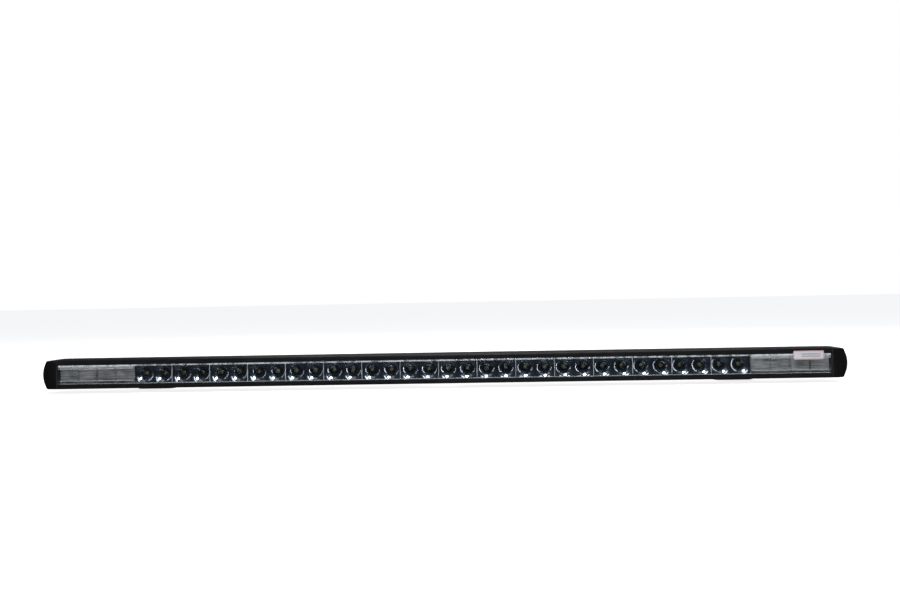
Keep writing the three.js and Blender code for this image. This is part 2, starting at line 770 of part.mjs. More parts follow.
function glandCapPiece() {
  const back = glandCapFront + glandCapLength;
  const domeRadius = glandHex / 2 - 0.2;
  const innerEnd = glandCapFront + glandNeck + gap;
  const socketRadius = glandThreadRadius + gap;
  const profile = [
    [cableBore, innerEnd],
    [socketRadius, innerEnd],
    [socketRadius, glandCapFront],
    [domeRadius, glandCapFront],
    [domeRadius, glandCapFront + glandCapHex + 1.5],
    [domeRadius - 1, back - 1.5],
    [cableBore + 1.2, back],
    [cableBore, back],
    [cableBore, innerEnd],
  ].map(([r, y]) => new THREE.Vector2(r, y));
  const bore = rod(socketRadius, glandCapFront - past, glandCapFront + glandCapHex + past, "y");
  const hex = solidOf(hexBar(glandHex, glandCapFront, glandCapFront + glandCapHex, "y"));
  return solidOf(new THREE.LatheGeometry(profile, roundSides)).add(hex.subtract(solidOf(bore)));
}

function breatherVent() {
  const seat = finRoot + gap;
  const back = seat + ventHeight;
  const edge = 1.2;
  const profile = [
    [0, tunnelBack],
    [ventStemRadius, tunnelBack],
    [ventStemRadius, seat],
    [ventRadius, seat],
    [ventRadius, back - edge],
    [ventRadius - edge, back],
    [0, back],
  ].map(([r, y]) => new THREE.Vector2(r, y));
  return new THREE.LatheGeometry(profile, roundSides);
}

addPiece("cable_gland", glandBodyPiece(), materials.nylon, [glandOffset, 0, fittingHeight]);
addPiece("gland_cap", glandCapPiece(), materials.nylon, [glandOffset, 0, fittingHeight]);
addPiece("breather_vent", breatherVent(), materials.nylon, [ventOffset, 0, fittingHeight]);

// ---- Plain label, stuck across the bezel's upper lip and the lens ----

const labelTop = top - labelBelowTop;
const labelRight = opticsLength / 2 - labelFromEnd;
const labelOutline = roundedRectangle(
  labelRight - labelLength,
  labelRight,
  labelTop - labelHeight,
  labelTop,
  labelCorner,
);
addPiece("label", alongY(labelOutline, -seal - labelThickness, -seal), materials.paper);

// ---- The two feet, each on a bracket that slides in the housing's T-slot ----

function slotNut() {
  const back = bodyDepth - slotLip - seal;
  const half = slotWidth / 2 - gap;
  const nut = solidOf(block(-slotNutLength / 2, slotNutLength / 2, back - slotNutHeight, back, -half, half));
  const front = back - slotNutHeight;
  const bore = rod(clampScrewRadius + screwClearance, front - past, back + past, "y", boltSides);
  return nut.subtract(solidOf(bore));
}

function clampScrew() {
  const seat = bodyDepth + gap + bracketPlate + gap;
  const tip = bodyDepth - slotLip - seal - clampScrewGrip;
  const end = seat + clampScrewHead;
  return joined([
    solidOf(rod(clampScrewHeadRadius, seat, end, "y")),
    solidOf(rod(clampScrewRadius, tip, seat + 1, "y", boltSides)),
  ]).subtract(solidOf(hexBar(clampScrewSocket, seat + clampScrewHead / 2, end + past, "y")));
}

function slideBracket() {
  const front = bodyDepth + gap;
  const back = front + bracketPlate;
  const half = bracketWidth / 2;
  const shoulder = hingeHeight + hingeEyeRadius + bracketShoulderGap;
  const upper = roundedRectangle(-half, half, shoulder, slotHeight + slotBlockHalf, bracketCorner);
  const lowest = hingeHeight - hingeEyeRadius;
  const lower = block(-lugWidth / 2, lugWidth / 2, front, back, lowest, shoulder + bracketCorner);
  const lug = new THREE.Shape();
  lug.moveTo(back - 1, lowest);
  lug.lineTo(hingeDepth, lowest);
  lug.absarc(hingeDepth, hingeHeight, hingeEyeRadius, -Math.PI / 2, 0);
  lug.absarc(hingeDepth, hingeHeight, hingeEyeRadius, 0, Math.PI / 2);
  lug.lineTo(back - 1, hingeHeight + hingeEyeRadius);
  lug.closePath();
  lug.holes.push(roundHole(hingeDepth, hingeHeight, hingeBoltRadius + screwClearance));
  const bore = rod(clampScrewRadius + screwClearance, front - past, back + past, "y", boltSides);
  return joined([
    solidOf(alongY(upper, front, back)),
    solidOf(lower),
    solidOf(alongX(lug, -lugWidth / 2, lugWidth / 2)),
  ]).subtract(solidOf(bore.translate(0, 0, slotHeight)));
}

function tiltFoot() {
  const plate = roundedRectangle(-footWidth / 2, footWidth / 2, footFront, footBack, footCorner);
  const slotMiddle = footBack - footSlotInset;
  const slotHalf = (footSlotLength - footSlotWidth) / 2;
  const slot = new THREE.Path();
  slot.absarc(-slotHalf, slotMiddle, footSlotWidth / 2, Math.PI * 1.5, Math.PI, true);
  slot.absarc(-slotHalf, slotMiddle, footSlotWidth / 2, Math.PI, Math.PI / 2, true);
  slot.absarc(slotHalf, slotMiddle, footSlotWidth / 2, Math.PI / 2, 0, true);
  slot.absarc(slotHalf, slotMiddle, footSlotWidth / 2, 0, -Math.PI / 2, true);
  plate.holes.push(slot);
  const ear = new THREE.Shape();
  ear.moveTo(hingeDepth - footAhead, footTop - 1);
  ear.lineTo(hingeDepth + hingeEyeRadius + footEarFlare, footTop - 1);
  ear.lineTo(hingeDepth + hingeEyeRadius, hingeHeight);
  ear.absarc(hingeDepth, hingeHeight, hingeEyeRadius, 0, Math.PI / 2);
  ear.absarc(hingeDepth, hingeHeight, hingeEyeRadius, Math.PI / 2, Math.PI);
  ear.closePath();
  ear.holes.push(roundHole(hingeDepth, hingeHeight, hingeBoltRadius + screwClearance));
  return joined([
    solidOf(alongZ(plate, footBottom, footTop)),
    solidOf(alongX(ear, earInside, earOutside)),
    solidOf(alongX(ear, -earOutside, -earInside)),
  ]);
}

// The hinge bolt along X, with its head at the left ear.
function hingeBolt() {
  const seat = -earOutside - gap;
  const tip = earOutside + gap + hingeNutHeight + hingeBoltPastNut;
  return joined([
    solidOf(hexBar(hingeHex, seat - hingeBoltHead, seat, "x")),
    solidOf(rod(hingeBoltRadius, seat - 1, tip, "x")),
  ]);
}

function hingeNut() {
  const from = earOutside + gap;
  return solidOf(hexBar(hingeHex, from, from + hingeNutHeight, "x")).subtract(
    solidOf(rod(hingeBoltRadius + screwClearance, from - past, from + hingeNutHeight + past, "x")),
  );
}

const slotNutSolid = slotNut();
const clampScrewSolid = clampScrew();
const bracketSolid = slideBracket();
const footSolid = tiltFoot();
const hingeBoltSolid = hingeBolt();
const hingeNutSolid = hingeNut();
for (const [side, sign] of [
  ["left", -1],
  ["right", 1],
]) {
  const mount = new THREE.Group();
  mount.position.x = sign * footPlace;
  bar.add(mount);
  addPiece(`${side}_slot_nut`, slotNutSolid, materials.steel, [0, 0, slotHeight], mount);
  addPiece(`${side}_slide_bracket`, bracketSolid, materials.blackSteel, [0, 0, 0], mount);
  addPiece(`${side}_clamp_screw`, clampScrewSolid, materials.steel, [0, 0, slotHeight], mount);
  addPiece(`${side}_foot`, footSolid, materials.blackSteel, [0, 0, 0], mount);
  addPiece(`${side}_hinge_bolt`, hingeBoltSolid, materials.steel, [0, hingeDepth, hingeHeight], mount);
  addPiece(`${side}_hinge_nut`, hingeNutSolid, materials.steel, [0, hingeDepth, hingeHeight], mount);
}

// The origin: the middle of the footprint, from the label's face to the feet's back edge, on the plane that
// the feet stand on.
bar.position.set(0, -(footBack - seal - labelThickness) / 2, -footBottom);

export default lightBar;
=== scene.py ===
"""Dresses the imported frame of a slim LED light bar: its looks, its stage, its lights and its camera."""

from __future__ import annotations

import logging
import math
from collections.abc import Callable, Iterator, Sequence
from contextlib import contextmanager
from dataclasses import dataclass
from enum import Enum
from typing import Any

import bmesh
import bpy
from mathutils import Matrix, Vector


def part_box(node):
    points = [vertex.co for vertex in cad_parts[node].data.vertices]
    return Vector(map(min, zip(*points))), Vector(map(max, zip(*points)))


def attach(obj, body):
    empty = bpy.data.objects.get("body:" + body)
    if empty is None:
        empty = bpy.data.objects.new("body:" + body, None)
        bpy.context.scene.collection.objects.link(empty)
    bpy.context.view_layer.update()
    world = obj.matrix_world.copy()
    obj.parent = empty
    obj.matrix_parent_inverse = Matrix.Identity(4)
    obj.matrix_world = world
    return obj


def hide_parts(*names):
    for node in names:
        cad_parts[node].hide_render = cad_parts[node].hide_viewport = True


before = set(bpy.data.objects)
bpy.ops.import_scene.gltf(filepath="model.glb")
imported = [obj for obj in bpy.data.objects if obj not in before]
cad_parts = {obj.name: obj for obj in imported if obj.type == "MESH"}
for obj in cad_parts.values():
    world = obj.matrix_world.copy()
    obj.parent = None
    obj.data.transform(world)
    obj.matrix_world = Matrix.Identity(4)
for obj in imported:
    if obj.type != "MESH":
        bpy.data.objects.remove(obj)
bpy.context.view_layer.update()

LOG = logging.getLogger("light_bar")
MM = 0.001
CELL = 25.4 * MM  # from one LED to the next
Point = tuple[float, float, float]
Colour = tuple[float, float, float, float]
Piece = bpy.types.Object
Socket = bpy.types.NodeSocket
WHITE: Colour = (1.0, 1.0, 1.0, 1.0)


# ---- Named options and boxes ----


class Body(Enum):
    """The frame's moving bodies."""

    BAR = "light_bar"
    LEFT_CARRIAGE = "left_carriage"
    RIGHT_CARRIAGE = "right_carriage"
    LEFT_FOOT = "left_tilt_foot"
    RIGHT_FOOT = "right_tilt_foot"


class Side(Enum):
    """The two ends of the bar, as seen from in front of its lens."""

    LEFT = -1
    RIGHT = 1

    @property
    def word(self) -> str:
        """The side's name in lower case, as node names have it."""
        return self.name.lower()

    @property
    def carriage(self) -> Body:
        """The sliding body at this side."""
        return Body(f"{self.word}_carriage")

    @property
    def foot(self) -> Body:
        """The tilting body at this side."""
        return Body(f"{self.word}_tilt_foot")


class Axis(Enum):
    """The frame's axes, by their place in a point."""

    X = 0
    Y = 1
    Z = 2

    @property
    def vector(self) -> Vector:
        """The axis as a unit vector."""
        return Vector([1.0 if i == self.value else 0.0 for i in range(3)])

    @property
    def turn(self) -> Point:
        """The turn that lays a shape made along Z along this axis."""
        quarter = math.pi / 2
        return {Axis.X: (0.0, quarter, 0.0), Axis.Y: (quarter, 0.0, 0.0), Axis.Z: (0.0, 0.0, 0.0)}[self]


class Pick(Enum):
    """What a selection in edit mode is made of."""

    VERTS = "VERT"
    EDGES = "EDGE"
    FACES = "FACE"


class Carve(Enum):
    """What one solid does to another."""

    ADD = "UNION"
    CUT = "DIFFERENCE"
    KEEP_INSIDE = "INTERSECT"


@dataclass(frozen=True)
class Box:
    """A box in the frame, by its lowest and highest corners."""

    low: Vector
    high: Vector

    @classmethod
    def of(cls, node: str) -> Box:
        """The box of a CAD node."""
        return cls(*(Vector(corner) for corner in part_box(node)))

    @property
    def middle(self) -> Vector:
        """The box's middle."""
        return (self.low + self.high) / 2

    @property
    def size(self) -> Vector:
        """The box's size along each axis."""
        return self.high - self.low


# ---- The workbench: modelling by Blender's own tools ----


def deselect() -> None:
    """Leaves no object selected."""
    bpy.ops.object.select_all(action="DESELECT")


def take(piece: Piece) -> None:
    """Makes a piece the only selected object, and the active one."""
    deselect()
    piece.select_set(True)
    bpy.context.view_layer.objects.active = piece


def settle(name: str) -> Piece:
    """Names the primitive just added, and applies its place, turn and size to its mesh.

    Args:
        name: The new piece's name.

    Returns:
        The new piece.
    """
    piece = bpy.context.active_object
    piece.name = name
    bpy.ops.object.transform_apply(location=True, rotation=True, scale=True)
    return piece


def add_box(name: str, low: Sequence[float], high: Sequence[float]) -> Piece:
    """Adds a box between two corners.

    Args:
        name: The piece's name.
        low: Its lowest corner, in metres.
        high: Its highest corner, in metres.

    Returns:
        The new piece.
    """
    deselect()
    middle = [(a + b) / 2 for a, b in zip(low, high)]
    bpy.ops.mesh.primitive_cube_add(size=1, location=middle, scale=[b - a for a, b in zip(low, high)])
    return settle(name)


def add_rod(
    name: str, radius: float, start: Sequence[float], length: float, axis: Axis, sides: int = 32
) -> Piece:
    """Adds a round or many-sided bar.

    Args:
        name: The piece's name.
        radius: From its middle to its corners, in metres.
        start: The middle of its near end.
        length: How far it reaches along its axis.
        axis: The way it lies.
        sides: How many sides it has.

    Returns:
        The new piece.
    """
    deselect()
    middle = Vector(start) + axis.vector * (length / 2)
    bpy.ops.mesh.primitive_cylinder_add(
        vertices=sides, radius=radius, depth=length, location=middle, rotation=axis.turn
    )
    return settle(name)


@contextmanager
def editing(piece: Piece, kind: Pick = Pick.FACES) -> Iterator[None]:
    """Opens a piece in edit mode with nothing selected, and closes it again.

    Args:
        piece: The piece.
        kind: What is to be selected in it.

    Yields:
        Nothing, while the piece is open.
    """
    take(piece)
    bpy.ops.object.mode_set(mode="EDIT")
    bpy.ops.mesh.select_mode(type=kind.value)
    bpy.ops.mesh.select_all(action="DESELECT")
    yield
    bpy.ops.object.mode_set(mode="OBJECT")


def select(piece: Piece, kind: Pick, test: Callable[[Any], bool]) -> int:
    """Selects, in edit mode, the parts of a mesh that pass a test.

    Args:
        piece: The piece that is open in edit mode.
        kind: Vertices, edges or faces.
        test: Says of one vertex, edge or face whether it is wanted.

    Returns:
        How many were selected.
    """
    bpy.ops.mesh.select_all(action="DESELECT")
    shape = bmesh.from_edit_mesh(piece.data)
    parts = {Pick.VERTS: shape.verts, Pick.EDGES: shape.edges, Pick.FACES: shape.faces}[kind]
    wanted = [part for part in parts if test(part)]
    for part in wanted:
        part.select_set(True)
    bmesh.update_edit_mesh(piece.data)
    return len(wanted)


def near(a: float, b: float, slack: float = 0.01 * MM) -> bool:
    """Whether two lengths are the same but for rounding."""
    return abs(a - b) < slack


def lies_at(edge: bmesh.types.BMEdge, axis: Axis, place: float) -> bool:
    """Whether both ends of an edge are at a place along an axis."""
    return all(near(vert.co[axis.value], place) for vert in edge.verts)


def is_square_to(edge: bmesh.types.BMEdge, *axes: Axis) -> bool:
    """Whether both ends of an edge have the same place along every axis given."""
    return all(lies_at(edge, axis, edge.verts[0].co[axis.value]) for axis in axes)


def cut_rows(piece: Piece, axis: Axis, places: Sequence[float]) -> None:
    """Cuts loops round a piece, square to an axis.

    Args:
        piece: The piece.
        axis: The axis that the loops stand along.
        places: The loops' places.
    """
    with editing(piece):
        for place in places:
            bpy.ops.mesh.select_all(action="SELECT")
            bpy.ops.mesh.bisect(plane_co=axis.vector * place, plane_no=axis.vector)


def shape_rows(
    piece: Piece, axis: Axis, places: Sequence[float], scale: Callable[[float], Point], centre: Point
) -> None:
    """Scales each loop of a piece about a centre, as its place along an axis asks.

    Args:
        piece: The piece, with a loop of vertices at each place.
        axis: The axis that the loops stand along.
        places: The loops' places.
        scale: Gives a loop's scale from its place.
        centre: What the loops are scaled about.
    """
    with editing(piece, Pick.VERTS):
        for place in places:
            if select(piece, Pick.VERTS, lambda vert: near(vert.co[axis.value], place)):
                bpy.ops.transform.resize(value=scale(place), center_override=centre)


def bevel_edges(piece: Piece, test: Callable[[Any], bool], width: float, segments: int) -> None:
    """Rounds the edges of a piece that pass a test.

    Args:
        piece: The piece.
        test: Says of one edge whether it is rounded.
        width: The rounding's radius, in metres.
        segments: How many strips the rounding is made of.
    """
    with editing(piece, Pick.EDGES):
        if select(piece, Pick.EDGES, test):
            bpy.ops.mesh.bevel(offset=width, segments=segments, profile=0.5, clamp_overlap=True)


def combine(piece: Piece, tool: Piece, how: Carve) -> Piece:
    """Works on a piece with another one, which is used up.

    Args:
        piece: The piece that is changed.
        tool: The other one.
        how: What the tool does to the piece.

    Returns:
        The changed piece.
    """
    take(piece)
    bpy.ops.object.modifier_add(type="BOOLEAN")
    boolean = piece.modifiers[-1]
    boolean.operation = how.value
    boolean.object = tool
    boolean.solver = "EXACT"
    bpy.ops.object.modifier_apply(modifier=boolean.name)
    discard(tool)
    return piece


def discard(*pieces: Piece) -> None:
    """Removes pieces that only served to make others."""
    for piece in pieces:
        bpy.data.objects.remove(piece, do_unlink=True)


def join(name: str, pieces: Sequence[Piece]) -> Piece:
    """Joins pieces into one object that keeps their solids apart.

    Args:
        name: The joined piece's name.
        pieces: The pieces, of which the first takes in the others.

    Returns:
        The joined piece.
    """
    take(pieces[0])
    for piece in pieces:
        piece.select_set(True)
    bpy.ops.object.join()
    pieces[0].name = name
    return pieces[0]


def soften(piece: Piece, width: float, segments: int = 2, angle: float = 40.0) -> Piece:
    """Gives a piece's sharp edges a fine radius, and smooths what is nearly flat.

    Args:
        piece: The piece.
        width: The radius, in metres.
        segments: How many strips the radius is made of.
        angle: The least angle of a sharp edge, in degrees.

    Returns:
        The same piece.
    """
    take(piece)
    bpy.ops.object.modifier_add(type="BEVEL")
    bevel = piece.modifiers[-1]
    bevel.width = width
    bevel.segments = segments
    bevel.limit_method = "ANGLE"
    bevel.angle_limit = math.radians(angle)
    bevel.miter_outer = "MITER_ARC"
    bpy.ops.object.modifier_apply(modifier=bevel.name)
    return smooth(piece)


def smooth(piece: Piece, angle: float = 35.0) -> Piece:
    """Shades a piece smooth, but for edges sharper than an angle in degrees."""
    take(piece)
    bpy.ops.object.shade_smooth_by_angle(angle=math.radians(angle))
    return piece


def copy_piece(source: Piece, name: str, offset: Sequence[float] = (0, 0, 0)) -> Piece:
    """Copies a piece with its own mesh.

    Args:
        source: The piece that is copied.
        name: The copy's name.
        offset: How far the copy is moved.

    Returns:
        The copy.
    """
    piece = bpy.data.objects.new(name, source.data.copy())
    piece.data.name = name
    piece.data.transform(Matrix.Translation(offset))
    bpy.context.scene.collection.objects.link(piece)
    return piece


def mirror_copy(source: Piece, name: str, offset: Sequence[float] = (0, 0, 0)) -> Piece:
    """Copies a piece to the bar's other end, with its faces still pointing out.

    Args:
        source: The piece that is copied.
        name: The copy's name.
        offset: How far the mirrored copy is moved.

    Returns:
        The copy.
    """
    piece = copy_piece(source, name)
    piece.data.transform(Matrix.Diagonal((-1.0, 1.0, 1.0, 1.0)))
    piece.data.flip_normals()
    piece.data.transform(Matrix.Translation(offset))
    return piece


def copy_of_node(node: str, name: str) -> Piece:
    """Copies a CAD node's mesh into a new piece, with its loose triangles merged into clean faces.

    Args:
        node: The CAD node.
        name: The new piece's name.

    Returns:
        The new piece.
    """
    piece = copy_piece(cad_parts[node], name)
    piece.data.materials.clear()
    with editing(piece, Pick.VERTS):
        bpy.ops.mesh.select_all(action="SELECT")
        bpy.ops.mesh.remove_doubles(threshold=0.001 * MM)
        bpy.ops.mesh.dissolve_limited(angle_limit=math.radians(0.5))
    return piece


# ---- Shader graphs ----


class Value:
    """A number that changes over a surface: a shader socket that arithmetic works on."""

    def __init__(self, graph: Graph, socket: Socket) -> None:
        """Wraps one output socket of a graph."""
        self.graph = graph
        self.socket = socket

    def __add__(self, other: Value | float) -> Value:
        """self + other"""
        return self.graph.math("ADD", self, other)

    def __radd__(self, other: float) -> Value:
        """other + self"""
        return self.graph.math("ADD", other, self)

    def __sub__(self, other: Value | float) -> Value:
        """self - other"""
        return self.graph.math("SUBTRACT", self, other)

    def __rsub__(self, other: float) -> Value:
        """other - self"""
        return self.graph.math("SUBTRACT", other, self)

    def __mul__(self, other: Value | float) -> Value:
        """self * other"""
        return self.graph.math("MULTIPLY", self, other)

    def __rmul__(self, other: float) -> Value:
        """other * self"""
        return self.graph.math("MULTIPLY", other, self)

    def __abs__(self) -> Value:
        """abs(self)"""
        return self.graph.math("ABSOLUTE", self)


class Graph:
    """The node tree of one material, or of the world."""

    def __init__(
        self, owner: bpy.types.Material | bpy.types.World, output: str = "ShaderNodeOutputMaterial"
    ) -> None:
        """Empties an owner's node tree, but for a new output node.

        Args:
            owner: The material or world.
            output: The output node's type.
        """
        owner.use_nodes = True
        self.owner = owner
        self.tree = owner.node_tree
        self.tree.nodes.clear()
        self.output = self.tree.nodes.new(output)

    def add(
        self, kind: str, settings: dict[str, Any] | None = None, inputs: dict[str | int, Any] | None = None
    ) -> bpy.types.Node:
        """Adds a node.

        Args:
            kind: The node's type.
            settings: Its properties, or a ramp's stops as (place, colour) pairs under "stops".
            inputs: Values or links, by socket name or number.

        Returns:
            The new node.
        """
        node = self.tree.nodes.new(kind)
        for key, setting in (settings or {}).items():
            if key == "stops":
                while len(node.color_ramp.elements) < len(setting):
                    node.color_ramp.elements.new(0.5)
                for element, (place, colour) in zip(node.color_ramp.elements, setting):
                    element.position = place
                    element.color = colour
            else:
                setattr(node, key, setting)
        for key, given in (inputs or {}).items():
            source = given.socket if isinstance(given, Value) else given
            if isinstance(source, Socket):
                self.tree.links.new(source, node.inputs[key])
            else:
                node.inputs[key].default_value = source
        return node

    def math(self, operation: str, first: Value | float, second: Value | float = 0.0) -> Value:
        """Adds a Math node of the operation given, on numbers or values."""
        node = self.add("ShaderNodeMath", {"operation": operation}, {0: first, 1: second})
        return Value(self, node.outputs[0])

    def point(self) -> Socket:
        """The surface point's coordinates in the frame."""
        return self.add("ShaderNodeTexCoord").outputs["Object"]

    def place(self) -> dict[Axis, Value]:
        """The surface point's place in the frame, one value for each axis."""
        parts = self.add("ShaderNodeSeparateXYZ", inputs={0: self.point()})
        return {axis: Value(self, parts.outputs[axis.value]) for axis in Axis}

    def noise(self, scale: float, detail: float = 4.0, stretch: Point = (1.0, 1.0, 1.0)) -> Value:
        """Noise over the surface, from 0 to 1.

        Args:
            scale: How many lumps there are to a metre.
            detail: How many finer layers it has.
            stretch: How much closer the lumps lie along each axis.

        Returns:
            The noise's value.
        """
        mapped = self.add("ShaderNodeMapping", inputs={"Vector": self.point(), "Scale": stretch}).outputs[0]
        noise = self.add("ShaderNodeTexNoise", inputs={"Vector": mapped, "Scale": scale, "Detail": detail})
        return Value(self, noise.outputs[0])

    def between(
        self, value: Value, low: float, high: float, to_low: float = 0.0, to_high: float = 1.0
    ) -> Value:
        """Turns one span of numbers into another, and holds what is outside at its ends.

        Args:
            value: The value that is turned.
            low: The span's start.
            high: The span's end.
            to_low: What the start becomes.
            to_high: What the end becomes.

        Returns:
            The new value.
        """
        node = self.add(
            "ShaderNodeMapRange",
            {"clamp": True},
            {"Value": value, "From Min": low, "From Max": high, "To Min": to_low, "To Max": to_high},
        )
        return Value(self, node.outputs[0])

    def rise(self, value: Value, start: float, blur: float) -> Value:
        """0 up to a start, and 1 from a blur's width past it."""
        return self.between(value, start, start + blur)

    def fall(self, value: Value, start: float, blur: float) -> Value:
        """1 up to a start, and 0 from a blur's width past it."""
        return self.between(value, start, start + blur, 1.0, 0.0)

    def mix(self, factor: Value, first: Colour | Socket, second: Colour | Socket) -> Socket:
        """A colour between two colours."""
        return self.add("ShaderNodeMix", {"data_type": "RGBA"}, {0: factor, 6: first, 7: second}).outputs[2]

    def blend(self, factor: Value | Socket, first: bpy.types.Node, second: bpy.types.Node) -> bpy.types.Node:
        """A surface between the surfaces of two nodes."""
        return self.add("ShaderNodeMixShader", inputs={0: factor, 1: first.outputs[0], 2: second.outputs[0]})

    def bump(self, height: Value, distance: float, strength: float) -> Socket:
        """A normal that follows a height, whose full rise is a distance in metres."""
        inputs = {"Strength": strength, "Distance": distance, "Height": height}
        return self.add("ShaderNodeBump", inputs=inputs).outputs[0]

    def edges(self, sharp: float = 0.55, soft: float = 0.5) -> Value:
        """How much a point is on an outer edge, from the surface's pointiness: worn edges, and on the
        reflectors a thin coat and a painted highlight.
        """
        pointiness = self.add("ShaderNodeNewGeometry").outputs["Pointiness"]
        return self.between(Value(self, pointiness), soft, sharp)

    def principled(self, **inputs: Any) -> bpy.types.Material:
        """Ends the graph in a Principled surface, whose sockets are named with underscores for spaces."""
        named = {key.replace("_", " "): given for key, given in inputs.items()}
        return self.finish(self.add("ShaderNodeBsdfPrincipled", inputs=named))

    def finish(self, surface: bpy.types.Node) -> bpy.types.Material | bpy.types.World:
        """Ends the graph in the surface of the node given."""
        self.tree.links.new(surface.outputs[0], self.output.inputs["Surface"])
        return self.owner


# ---- Finishes ----


@dataclass(frozen=True)
class Finish:
    """A surface finish: a name, and the record's material slot that it belongs to."""

    name: str
    slot: str

    def material(self) -> bpy.types.Material:
        """The finish's material, made the first time it is asked for."""
        return bpy.data.materials.get(self.name) or self.make(Graph(bpy.data.materials.new(self.name)))

    def make(self, graph: Graph) -> bpy.types.Material:
        """Builds the material.

        Args:
            graph: The new material's empty graph.

        Returns:
            The finished material.
        """
        raise NotImplementedError


@dataclass(frozen=True)
class Anodised(Finish):
    """Satin anodised aluminium, with the faint drawing lines of an extrusion along X."""

    colour: Colour = (0.0028, 0.0029, 0.0034, 1.0)
    worn: Colour = (0.0082, 0.0085, 0.0095, 1.0)
    roughness: float = 0.36
    ior: float = 1.26
    line_depth: float = 0.03 * MM

    def make(self, graph: Graph) -> bpy.types.Material:
        """Builds the material from drawing lines, a mottle and worn edges.

        Args:
            graph: The new material's empty graph.

        Returns:
            The finished material.
        """
        lines = graph.noise(140.0, 3.0, (0.02, 8.0, 8.0))
        mottle = graph.noise(60.0, 3.0)
        tone = graph.between(lines + mottle, 0.75, 1.3)
        return graph.principled(
            Base_Color=graph.mix(graph.between(tone + graph.edges(), 0.3, 1.8), self.colour, self.worn),
            Roughness=graph.between(tone, 0.0, 1.0, self.roughness - 0.05, self.roughness + 0.07),
            IOR=self.ior,
            Normal=graph.bump(lines, self.line_depth, 0.5),
        )


@dataclass(frozen=True)
class Textured(Finish):
    """A fine-grained coat or moulded skin in one dark colour."""

    colour: Colour = (0.008, 0.008, 0.009, 1.0)
    pale: Colour = (0.02, 0.02, 0.022, 1.0)  # in its clouds and on its worn edges
    roughness: float = 0.45
    grain: float = 2600.0  # lumps to a metre
    depth: float = 0.04 * MM
    ior: float = 1.4

    def make(self, graph: Graph) -> bpy.types.Material:
        """Builds the material from a fine grain, soft clouds and worn edges.

        Args:
            graph: The new material's empty graph.

        Returns:
            The finished material.
        """
        grain = graph.noise(self.grain, 2.0)
        cloud = graph.noise(45.0, 4.0)
        paleness = graph.between(cloud * 0.7 + graph.edges() * 0.8, 0.3, 1.1)
        return graph.principled(
            Base_Color=graph.mix(paleness, self.colour, self.pale),
            Roughness=graph.between(cloud, 0.3, 0.7, self.roughness - 0.05, self.roughness + 0.08),
            IOR=self.ior,
            Normal=graph.bump(grain, self.depth, 0.6),
        )


@dataclass(frozen=True)
class Steel(Finish):
    """Bright screw steel, lightly brushed and a little dulled."""

    colour: Colour = (0.46, 0.46, 0.47, 1.0)
    dull: Colour = (0.25, 0.25, 0.26, 1.0)
    roughness: tuple[float, float] = (0.22, 0.42)
    brush_depth: float = 0.01 * MM

    def make(self, graph: Graph) -> bpy.types.Material:
        """Builds the material from brush marks and stains.

        Args:
            graph: The new material's empty graph.

        Returns:
            The finished material.
        """
        brush = graph.noise(900.0, 3.0, (1.0, 1.0, 0.1))
        stain = graph.noise(220.0, 4.0)
        return graph.principled(
            Base_Color=graph.mix(graph.between(stain, 0.35, 0.7), self.colour, self.dull),
            Metallic=1.0,
            Roughness=graph.between(brush + stain, 0.7, 1.3, *self.roughness),
            Normal=graph.bump(brush, self.brush_depth, 0.4),
        )


@dataclass(frozen=True)
class MirrorCoat(Finish):
    """Vacuum-metallised plastic: a bluish dark mirror, or a satin one."""

    colour: Colour = (0.56, 0.58, 0.62, 1.0)
    haze: Colour = (0.36, 0.38, 0.41, 1.0)
    thin: Colour = (0.86, 0.87, 0.88, 1.0)  # pale where the coat is thin on the frame's edges, and a painted highlight along them
    roughness: float = 0.07
    ripple_depth: float = 0.12 * MM

    def make(self, graph: Graph) -> bpy.types.Material:
        """Builds the material from a hazy film, a slight ripple and pale, dull edges: a thin coat and a
        painted highlight.

        Args:
            graph: The new material's empty graph.

        Returns:
            The finished material.
        """
        film = graph.noise(120.0, 3.0)
        ripple = graph.noise(260.0, 1.0)
        patches = graph.between(graph.noise(150.0, 2.0), 0.3, 0.55, 0.5, 1.0)
        # the frame's edges: a thin coat and a painted highlight, pale and dull
        edge = graph.edges(0.6, 0.52) * patches
        coat = graph.mix(graph.between(film, 0.35, 0.7), self.colour, self.haze)
        dulled = graph.between(film, 0.3, 0.7, self.roughness, self.roughness + 0.06)
        return graph.principled(
            Base_Color=graph.mix(edge, coat, self.thin),
            Metallic=1 - edge * 0.8,
            Roughness=dulled + edge * 0.4,
            Normal=graph.bump(ripple, self.ripple_depth, 0.35),
        )


